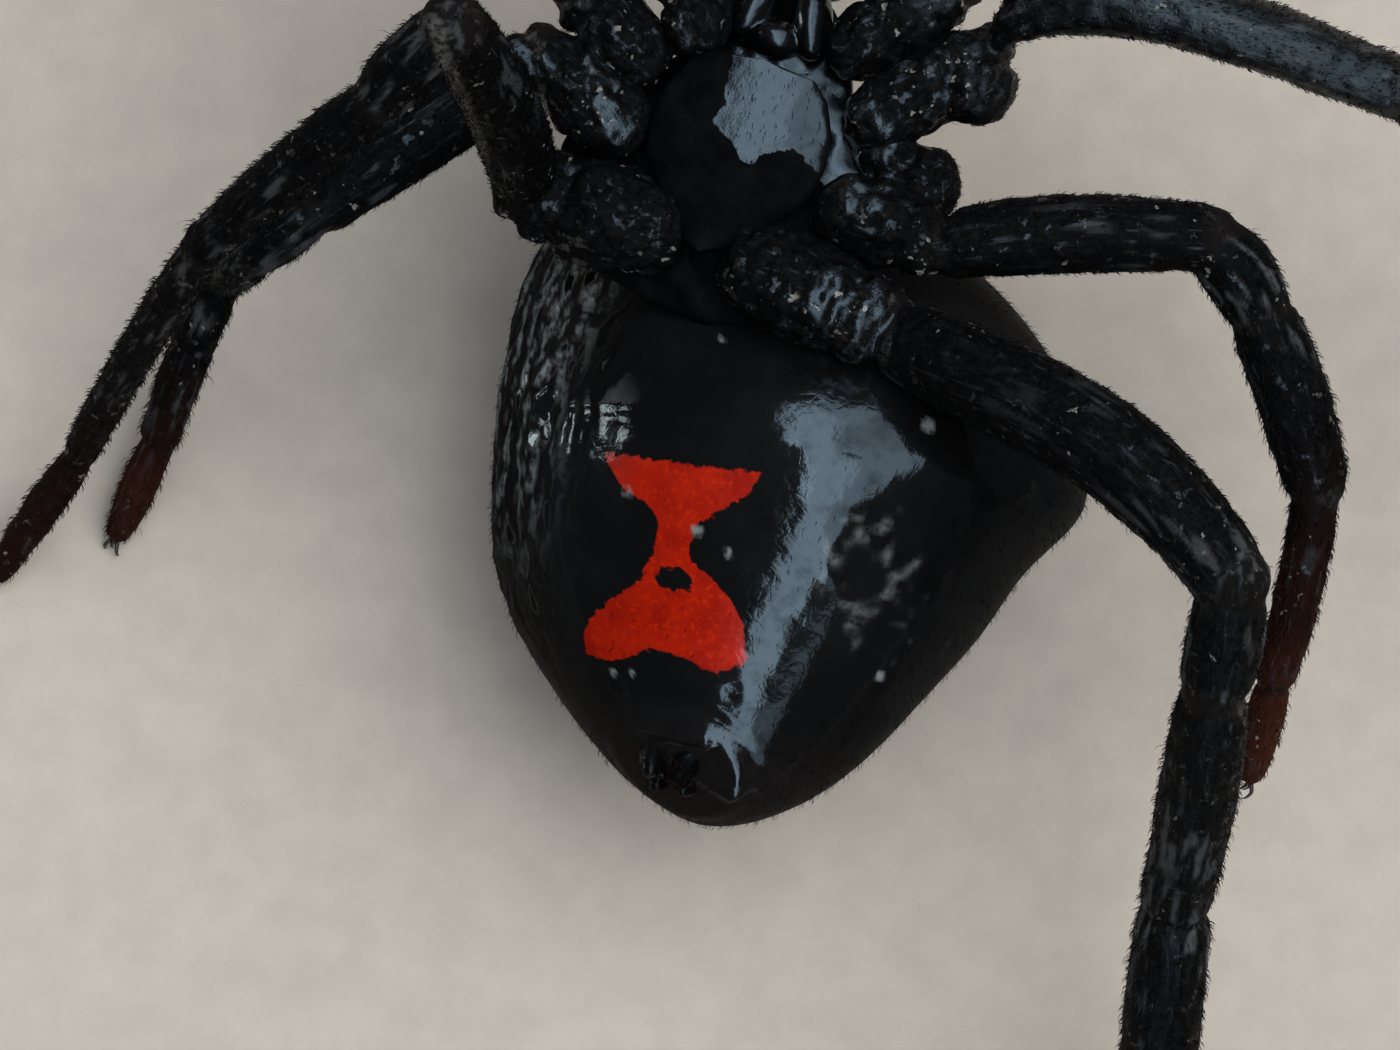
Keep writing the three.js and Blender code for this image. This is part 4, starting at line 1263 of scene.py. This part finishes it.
def abdomenMaterial():
    material, start, fill = newMaterial("abdomenSkin")
    mask, place = hourglassMask(start)
    grain = place.noise(9.0, 4.0)
    ground = place.noise(0.9, 4.0).step(0.4, 0.65).blend(abdomenLook["black"], abdomenLook["slate"])
    ground = (attribute(start, "rim") * grain.step(0.3, 0.7)).blend(ground, abdomenLook["brown"])
    red = place.noise(2.4, 4.0).step(0.3, 0.7).blend(abdomenLook["deepRed"], abdomenLook["red"])
    red = place.noise(11.0, 3.0).step(0.5, 0.75).blend(red, abdomenLook["scarlet"])
    colour = mask.blend(ground, red)
    # painted glints in pale blue-grey over the skin
    colour = (attribute(start, "pale") * grain.step(0.25, 0.6)).blend(colour, abdomenLook["pale"])
    cells = place.cells(7.0, "DISTANCE_TO_EDGE").step(0.0, 0.12)
    height = grain * 0.4 + cells * 0.12 + place.noise(40.0, 2.0) * 0.2
    relief = height.bump(abdomenLook["relief"], 0.4, place.noise(3.6, 2.0).bump(abdomenLook["waves"]))
    fill({
        "Base Color": colour,
        "Roughness": grain.step(0.2, 0.8) * 0.05 + 0.07 + mask * 0.08,
        "Normal": relief,
    })
    bloom = place.noise(2.6, 5.0, 0.65).step(0.42, 0.78) * 0.6
    dulled(material, start, attribute(start, "dull").most(bloom), colour, relief)
    return material


def paintedGlintsAt(local, points):
    # painted highlights: pale glint streaks down the folded flank, a broken ring of glints, and small glint
    # flecks
    x, y, z = local.T
    flank = (1 - smoothStep(-2.6, -1.5, x)) * smoothStep(-2.4, -0.4, y) * smoothStep(-0.7, 0.5, z)
    streaks = noiseAt(local, (7.0, 1.7, 5.5), 61.0) + ripple(local, 0.6, (15.0, 6.0, 12.0), 67.0)
    pale = flank * smoothStep(0.05, 0.35, streaks)
    swirl = abdomen["swirl"]
    dx, dy = x - swirl["middle"][0], y - swirl["middle"][1]
    away = np.hypot(dx, 0.62 * dy) * (1 + ripple(local, 0.7, 3.5, 71.0))
    ring = bell(away - swirl["radius"], swirl["wide"])
    pale = np.maximum(pale, 0.5 * ring * smoothStep(-0.2, 0.3, noiseAt(local, 6.0, 73.0)))
    for (px, py), radius in abdomen["flecks"]:
        away = np.hypot(points[:, 0] - px, points[:, 1] - py) / radius
        pale = np.maximum(pale, (1 - smoothStep(0.6, 1.0, away)) * (points[:, 2] > 2))
    return pale


def abdomenDullness(local, points, slope):
    # the belly's upper side is glossy, and its sides are dull
    x, y, z = local.T
    folded = 1 - smoothStep(-2.3, -1.5, x)
    low, high = (at - less * folded for at, less in zip(abdomen["glossFrom"], abdomen["foldGloss"]))
    dull = 1 - smoothStep(low, high, slope)
    tail = smoothStep(-0.1, 0.1, x) * (1 - smoothStep(0.9, 1.1, x)) * (y < -2.4)
    dull = dull * (1 - tail * smoothStep(*abdomen["tailGloss"], slope))
    matt = smoothStep(-0.3, 0.2, insideOf(points, abdomen["matt"]) + ripple(points, 0.2, 3.0, 43.0))
    return abdomen["dullest"] * np.maximum(dull, matt)


def buildAbdomen():
    skin = globe(abdomenSection, *abdomen["grid"])
    raised(skin, bellyRelief(pointsOf(skin)))
    local = pointsOf(skin)
    along, turn = np.empty(len(local)), np.empty(len(local))
    skin.data.attributes["along"].data.foreach_get("value", along)
    skin.data.attributes["turn"].data.foreach_get("value", turn)
    skin.data.transform(abdomenFrame)
    points = pointsOf(skin)
    shoulder = abdomen["shoulder"]
    away = np.hypot(points[:, 0] - shoulder["at"][0], points[:, 1] - shoulder["at"][1])
    points[:, 2] += shoulder["high"] * bell(away, shoulder["wide"]) * smoothStep(2.6, 3.4, points[:, 2])
    setPoints(skin, aboveFloor(points))
    # brown round the spinnerets and low on the sides
    rim = (1 - smoothStep(-3.9, -3.2, local[:, 1])) * 0.5 + 0.12 * (1 - smoothStep(-2.0, -0.2, local[:, 2]))
    setAttribute(skin, "rim", rim)
    setAttribute(skin, "dull", abdomenDullness(local, points, normalsOf(skin)[:, 2]))
    setAttribute(skin, "pale", paintedGlintsAt(local, points))
    lie = everywhere(points, abdomenFrame.to_3x3() @ Vector((0, -1, 0)))
    sparse = 1.0 - 0.82 * smoothStep(0.6, 1.6, local[:, 2]) * (1 - smoothStep(2.6, 3.3, np.abs(local[:, 0])))
    sparse = np.maximum(sparse, 1 - smoothStep(-3.9, -3.4, local[:, 1]))
    density = sparse * smoothStep(0.05, 0.4, points[:, 2])
    unwrap = np.stack([turn, along / 2 + 0.5], axis=1)
    growBristles("bristles_abdomen", skin, abdomenCoat, density, lie, unwrap, bristleLook, "cuticle",
                 {"brown": rim * 0.6})
    finishPiece(skin, "abdomen_skin", abdomenMaterial(), "cuticle", "abdomen", "hourglass")


abdomenCoat = {
    "seed": 7,
    "count": 4200,
    "length": 0.095,
    "lengthSpread": 0.4,
    "radius": 0.005,
    "tilt": 40,
    "tiltSpread": 12,
    "bend": 0.55,
    "spread": 14,
    "sunk": 0.02,
}

spinnerShape = {
    "place": (0, -4.02, 1.42),  # where the abdomen's rings of skin are too
    "axis": (0, -0.74, 0.67),
    "ring": ((-0.5, 0.46), (-0.2, 0.54), (0.0, 0.59), (0.12, 0.575), (0.18, 0.52), (0.2, 0.4), (0.1, 0.25)),
    # how far out, how far up, length and radius of each pair
    "cones": ((0.27, 0.24, 0.46, 0.19), (0.13, 0.0, 0.3, 0.11), (0.25, -0.24, 0.4, 0.16)),
    # how far along each cone its rings stand, and their radii, as shares
    "cone": ((0.0, 1.0), (0.35, 0.98), (0.6, 0.82), (0.66, 0.7), (0.9, 0.55), (1.0, 0.3)),
    "coneBase": 0.06,
    "lean": (0.25, 0.3),  # outwards and upwards, of the first pair
    "voxel": 0.02,
    "dull": 0.6,
    "brown": 0.5,
}

buildAbdomen()
print("abdomen and its bristles are done")


# front of the body: sternum between the legs, carapace under it, mouth, jaws, feelers and eyes
front = {
    "sternumGrid": (220, 140),
    "sternumHalf": 1.12,
    "sternumLength": 2.5,
    "sternumThick": 0.66,
    "sternumLevel": 0.2,
    # its half width along its length, as shares, from the hind tip on
    "sternumOutline": ((-1, 0.0), (-0.9, 0.24), (-0.6, 0.6), (-0.2, 0.92), (0.15, 1.0), (0.5, 0.95),
                       (0.8, 0.8), (0.95, 0.6), (1.0, 0.0)),
    "creases": {"meet": -0.15, "slope": 0.75, "wide": 0.05, "deep": 0.018},
    "hollows": {"angles": (35, 5, -28, -58), "out": (1.0, 1.15), "spread": 0.035, "deep": 0.035},
    "carapaceGrid": (240, 150),
    "carapaceHalf": 1.95,
    "headHalf": 0.98,
    "carapaceLength": 4.3,
    "carapaceDepth": 1.25,
    "carapaceRim": -0.92,
    "softSpread": 0.14,
    "softRise": 0.36,  # of the skin between the legs, over the carapace's rim
    "pit": {"at": -0.35, "wide": 0.14, "long": 0.3, "deep": 0.12},
    "furrows": {"count": 8, "deep": 0.05},
    "groove": {"meet": 0.35, "slope": 0.75, "wide": 0.1, "deep": 0.07, "ends": 1.2},
    "socket": {"radius": 0.17, "wide": 0.03, "high": 0.03},
    "eyeRadius": 0.13,
    # height and radius of each ring of a lens, as shares of its radius
    "lens": ((-0.6, 0.7), (0, 0.98), (0.45, 0.86), (0.8, 0.52), (0.95, 0.2)),
    # height under the sternum, then how far the inner and outer eye stand from the middle
    "eyeRows": {"front": (-1.3, (0.2, 0.56)), "rear": (-1.68, (0.19, 0.5))},
}


def sternumSection(along):
    # heart-shaped from above: along runs from the hind tip to the front edge
    share = np.sin(math.pi / 2 * along)
    wide = np.interp(share, *zip(*front["sternumOutline"])) * front["sternumHalf"]
    swell = np.sqrt(np.maximum(0, 1 - share ** 4))
    level = front["sternumLevel"] * swell
    return {
        "y": front["sternumLength"] / 2 * share,
        "half": wide,
        "up": level,
        "down": front["sternumThick"] * swell - level,
        "middle": -level,
    }


def buildSternum(material):
    plate = globe(sternumSection, *front["sternumGrid"])
    points = pointsOf(plate)
    x, y, z = points.T
    # faint creases that meet in a V, and slight hollows before the leg roots
    creases, hollows = front["creases"], front["hollows"]
    away = y - (creases["meet"] + creases["slope"] * np.abs(x)) - ripple(points, 0.02, 5.0, 3.0)
    rise = -creases["deep"] * bell(away, creases["wide"]) * smoothStep(1.0, 0.7, np.abs(x))
    for angle in map(math.radians, hollows["angles"]):
        for sign in (-1, 1):
            px, py = sign * hollows["out"][0] * math.cos(angle), hollows["out"][1] * math.sin(angle)
            rise -= hollows["deep"] * np.exp(-((x - px) ** 2 + (y - py) ** 2) / hollows["spread"])
    rise += ripple(points, 0.006, 2.4, 9.0) + ripple(points, 0.003, 7.0, 19.0)
    raised(plate, np.where(z > -front["sternumLevel"], rise, 0))
    local = pointsOf(plate)
    plate.data.transform(prosomaFrame)
    normals = normalsOf(plate)
    density = smoothStep(0.3, 0.7, normals[:, 2]) + 0.001
    lie = everywhere(normals, prosomaFrame.to_3x3() @ Vector((0, -1, 0)))
    coat = dict(abdomenCoat, seed=21, count=260, length=0.12, tilt=45)
    growBristles("bristles_sternum", plate, coat, density, lie, local[:, :2] / 4 + 0.5, bristleLook, "plates",
                 {"brown": np.zeros(len(local))})
    setAttribute(plate, "dull", 1 - wetness(pointsOf(plate)))
    finishPiece(plate, "sternum_plate", material, "plates", "sternum")


def carapaceSection(along):
    share = (along + 1) / 2
    head = smoothStep(0.42, 0.78, share)
    blunt = np.maximum(0, 1 - np.abs(along) ** 3.2) ** 0.5
    wide = front["carapaceHalf"] + (front["headHalf"] - front["carapaceHalf"]) * head
    deep = front["carapaceDepth"] * (0.82 + 0.18 * head)
    return {
        "y": front["carapaceLength"] * (share - 0.44),
        "half": wide * blunt,
        "up": front["softRise"] * blunt,
        "down": deep * np.maximum(0, 1 - np.abs(along) ** 2.4) ** 0.6,
        "middle": front["carapaceRim"],
    }


def buildCarapace(material):
    shell = globe(carapaceSection, *front["carapaceGrid"])
    points = pointsOf(shell)
    points[:, 0] *= 1 + front["softSpread"] * smoothStep(-0.1, 0.1, points[:, 2] - front["carapaceRim"])
    setPoints(shell, points)
    x, y, z = points.T
    back = smoothStep(0.1, 0.5, front["carapaceRim"] - z)
    # a pit in the middle of the back, furrows running out from it, and the groove behind the head
    pit, furrows, groove = front["pit"], front["furrows"], front["groove"]
    away = np.hypot(x, y - pit["at"])
    turn = np.arctan2(x, y - pit["at"])
    rays = (0.5 + 0.5 * np.cos(furrows["count"] * turn)) ** 3
    rise = -pit["deep"] * bell(x, pit["wide"]) * bell(y - pit["at"], pit["long"])
    rise -= furrows["deep"] * rays * smoothStep(0.2, 0.5, away) * (1 - smoothStep(1.3, 1.9, away))
    off = y - (groove["meet"] + groove["slope"] * np.abs(x))
    rise -= groove["deep"] * bell(off, groove["wide"]) * (np.abs(x) < groove["ends"])
    rise = rise * back + ripple(points, 0.015, 3.0, 5.0) + (1 - back) * ripple(points, 0.05, 3.5, 15.0)
    raised(shell, rise)
    # eye sockets: low rims round each lens
    points = pointsOf(shell)
    rise = np.zeros(len(points))
    for spot in eyePlaces().values():
        away = np.linalg.norm(points - np.array(spot), axis=1)
        rise += front["socket"]["high"] * bell(away - front["socket"]["radius"], front["socket"]["wide"])
    raised(shell, rise)
    # the soft side between the legs is dull, and only the hard back shines
    soft = smoothStep(-0.25, -0.05, pointsOf(shell)[:, 2] - front["carapaceRim"])
    shell.data.transform(prosomaFrame)
    setAttribute(shell, "dull", soft * (1 - wetness(pointsOf(shell))))
    finishPiece(shell, "carapace_shell", material, "cuticle", "carapace")


eyeLook = {
    "dark": (0.008, 0.007, 0.009, 1),
    "light": (0.03, 0.02, 0.016, 1),
    "roughness": 0.06,
    "coatRoughness": 0.03,
}


def eyePlaces():
    places = {}
    for row, (rise, spread) in front["eyeRows"].items():
        for rank, offset in zip(("middle", "outer"), spread):
            for side, sign in (("L", 1), ("R", -1)):
                places[f"eye_{side}_{row}_{rank}"] = (sign * offset, eyeDepth(rise, offset), rise)
    return places


def eyeDepth(rise, offset):
    # the front-most place of the carapace at a height and side
    for place in np.arange(0.995, 0, -0.005):
        section = carapaceSection(np.array([place]))
        half, down = float(section["half"][0]), float(section["down"][0])
        if (offset / half) ** 2 + ((rise - front["carapaceRim"]) / down) ** 2 < 1:
            return float(section["y"][0]) - 0.03
    return 2.0


def buildEyes():
    material, start, fill = newMaterial("eyeLens")
    tone = inMillimetres(start).noise(4.0).step(0.3, 0.7).blend(eyeLook["dark"], eyeLook["light"])
    fill({"Base Color": tone, "Roughness": eyeLook["roughness"], "Coat Weight": 1.0,
          "Coat Roughness": eyeLook["coatRoughness"]})
    radius = front["eyeRadius"]
    for node, spot in eyePlaces().items():
        lens = turnedTube([(height * radius, share * radius) for height, share in front["lens"]], 16)
        outward = Vector((spot[0] * 0.5, 1.0, (spot[2] - front["carapaceRim"]) * 0.35))
        lens.data.transform(prosomaFrame @ limbFrame(Vector(spot), outward))
        subdivide(lens, 2)
        smoothShade(lens)
        finishPiece(lens, f"lens_{node[4:]}", material, "eye", node)


# the mouth's lobes: place, size and turn, for the lip and for the left one of the two plates beside it
mouthShape = {
    "lip": ((0, 1.62, -0.42), (0.34, 0.24, 0.3), 0),
    "plate": ((0.34, 1.98, -0.42), (0.26, 0.52, 0.33), 16),
    "grid": (48, 32),
    "voxel": 0.03,
}


def bulb(place, size, turn, sign=1):
    # a rounded lobe, mirrored where the sign is negative
    deselectAll()
    segments, rings = mouthShape["grid"]
    bpy.ops.mesh.primitive_uv_sphere_add(segments=segments, ring_count=rings, radius=1)
    lobe = bpy.context.object
    matrix = Matrix.Translation((sign * place[0], *place[1:]))
    matrix = matrix @ Matrix.Rotation(math.radians(sign * turn), 4, "Z")
    lobe.data.transform(matrix @ Matrix.Diagonal((*size, 1)))
    return lobe


def buildMouth(material):
    lobes = [bulb(*mouthShape["lip"])] + [bulb(*mouthShape["plate"], sign) for sign in (-1, 1)]
    mouth = fused(joined(lobes), mouthShape["voxel"], 1)
    raised(mouth, ripple(pointsOf(mouth), 0.012, 5.0, 2.0))
    mouth.data.transform(prosomaFrame)
    finishPiece(mouth, "mouth_plates", material, "plates", "mouthparts")


jawShape = {
    "points": ((0.33, 2.62, -1.12), (0.32, 2.86, -0.62), (0.3, 2.9, -0.22)),
    "radii": (0.25, 0.27, 0.2),
    "fang": ((0.3, 2.9, -0.2), (0.28, 2.84, -0.06), (0.26, 2.72, 0.0), (0.2, 2.5, -0.02)),
    "fangRadii": (0.11, 0.1, 0.075, 0.012),
}
feelerShape = {
    "points": ((0.72, 2.72, -0.42), (1.06, 3.4, -0.2), (1.1, 3.85, -0.3), (1.0, 4.4, -0.6),
               (0.84, 5.2, -1.05)),
    "radii": (0.24, 0.25, 0.25, 0.25, 0.15),
    "voxel": 0.03,
    "brown": 0.8,
    "hairBrown": 0.6,
    "dull": 0.5,
}


def onSide(points, sign):
    # places on the left side of the front of the body, or mirrored to the right
    return [prosomaFrame @ Vector((sign * x, y, z)) for x, y, z in points]


def buildJaws(material):
    for side, sign in (("L", 1), ("R", -1)):
        jaw = tubeThrough(onSide(jawShape["points"], sign), jawShape["radii"], 24, 6)
        raised(jaw, ripple(pointsOf(jaw), 0.015, 4.0, 8.0))
        smoothShade(jaw)
        finishPiece(jaw, f"jaw_{side}", material, "cuticle", f"chelicera_{side}")
        fang = tubeThrough(onSide(jawShape["fang"], sign), jawShape["fangRadii"], 16, 5)
        smoothShade(fang)
        finishPiece(fang, f"fang_{side}", clawMaterial(), "leg_tip")


def feelerTube(start, end, near, far):
    # one segment, with the radii at its two ends
    length = (end - start).length
    stations = [(-0.2 * near, 0.5 * near), (0.02, 0.8 * near), (0.15 * length, near),
                (0.6 * length, (near + far) * 0.52), (0.93 * length, far * 1.03), (length, far * 0.95),
                (length + 0.3 * far, 0.5 * far)]
    tube = turnedTube(stations, 16)
    tube.data.transform(limbFrame(start, end - start))
    subdivide(tube, 1)
    return tube


def buildFeelers(material):
    radii = feelerShape["radii"]
    for side, sign in (("L", 1), ("R", -1)):
        places = onSide(feelerShape["points"], sign)
        parts = [feelerTube(*ends) for ends in zip(places, places[1:], radii, radii[1:])]
        feeler = fused(joined(parts), feelerShape["voxel"], 2)
        points = pointsOf(feeler)
        whole = places[-1] - places[0]
        reach = np.clip((points - np.array(places[0])) @ np.array(whole) / whole.length_squared, 0, 1)
        brown = smoothStep(0.5, 1.0, reach)
        marks = {key: 0 * reach for key in ("joint", "knuckle", "reach", "wet")}
        marks.update(brown=feelerShape["brown"] * brown, dull=feelerShape["dull"] + 0 * reach, limb=points)
        for key, values in marks.items():
            setAttribute(feeler, key, values)
        lie = everywhere(points, whole.normalized())
        unwrap = np.stack([reach, 0.5 + 0.1 * (points[:, 2] - points[:, 2].mean())], axis=1)
        coat = dict(legCoat, seed=60 + sign, count=1500, length=0.12)
        growBristles(f"bristles_feeler_{side}", feeler, coat, 0.1 + reach, lie, unwrap, bristleLook,
                     "leg_tip", {"brown": feelerShape["hairBrown"] * brown})
        finishPiece(feeler, f"feeler_{side}", material, "cuticle", f"pedipalp_{side}")


plateLook = {
    "black": (0.0010, 0.0011, 0.0014, 1),
    "worn": (0.0032, 0.0032, 0.0036, 1),
    "relief": 0.010,
}


def plateMaterial():
    material, start, fill = newMaterial("bodyPlate")
    place = inMillimetres(start)
    grain = place.noise(10.0, 4.0)
    height = grain * 0.5 + place.cells(7.0).step(0.05, 0.25) * 0.35 + place.noise(36.0, 2.0) * 0.3
    colour = place.noise(2.0, 4.0).step(0.4, 0.7).blend(plateLook["black"], plateLook["worn"])
    relief = height.bump(plateLook["relief"], 0.5)
    fill({"Base Color": colour, "Roughness": grain.step(0.2, 0.8) * 0.08 + 0.16, "Normal": relief})
    dull = (attribute(start, "dull") + (place.noise(3.0, 4.0) - 0.5) * 0.5).step(0.35, 0.65)
    dulled(material, start, dull, colour, relief)
    return material


waistShape = {
    "front": (0, -0.7, -0.78),  # in the frame of the front of the body
    "rear": (-0.62, 1.2, 1.85),  # in the abdomen's
    "radii": (0.42, 0.5, 0.48, 0.46, 0.42),
}


def buildPedicel(material):
    start = prosomaFrame @ Vector(waistShape["front"])
    end = abdomenFrame @ Vector(waistShape["rear"])
    path = [start + (end - start) * share for share in (0, 0.25, 0.5, 0.75, 1.0)]
    waist = tubeThrough(path, waistShape["radii"], 32, 6)
    raised(waist, ripple(pointsOf(waist), 0.03, 4.0, 4.0))
    setAttribute(waist, "dull", np.ones(len(waist.data.vertices)))
    smoothShade(waist)
    finishPiece(waist, "waist", material, "cuticle", "pedicel")


def spinningCone(out, up, length, radius):
    cone = turnedTube([(share * length, part * radius) for share, part in spinnerShape["cone"]], 16)
    farthest, highest = spinnerShape["cones"][0][:2]
    aside, above = spinnerShape["lean"]
    lean = Vector((-aside * out / farthest, -above * up / highest, 1))
    cone.data.transform(limbFrame(Vector((out, up, spinnerShape["coneBase"])), lean))
    subdivide(cone, 1)
    return cone


def buildSpinnerets(material):
    matrix = abdomenFrame @ limbFrame(Vector(spinnerShape["place"]), Vector(spinnerShape["axis"]))
    ring = turnedTube(list(spinnerShape["ring"]), 32)
    subdivide(ring, 1)
    cones = [spinningCone(sign * out, *rest) for out, *rest in spinnerShape["cones"] for sign in (-1, 1)]
    spinner = fused(joined([ring] + cones), spinnerShape["voxel"], 1)
    raised(spinner, ripple(pointsOf(spinner), 0.01, 7.0, 6.0))
    local = pointsOf(spinner)
    spinner.data.transform(matrix)
    lie = everywhere(local, matrix.to_3x3() @ Vector((0, 0, 1)))
    density = smoothStep(0.1, 0.3, local[:, 2]) + 0.01
    setAttribute(spinner, "dull", np.full(len(local), spinnerShape["dull"]))
    coat = dict(abdomenCoat, seed=33, count=420, length=0.1, tilt=35, radius=0.0045)
    growBristles("bristles_spinnerets", spinner, coat, density, lie, local[:, :2] / 2 + 0.5, bristleLook,
                 "plates", {"brown": np.full(len(local), spinnerShape["brown"])})
    finishPiece(spinner, "spinning_cones", material, "plates", "spinnerets")


bodyPlate = plateMaterial()
buildSternum(bodyPlate)
buildCarapace(bodyPlate)
buildEyes()
buildMouth(bodyPlate)
buildJaws(bodyPlate)
buildFeelers(legShell)
buildPedicel(bodyPlate)
buildSpinnerets(bodyPlate)
print("front of the body, waist and spinnerets are done")
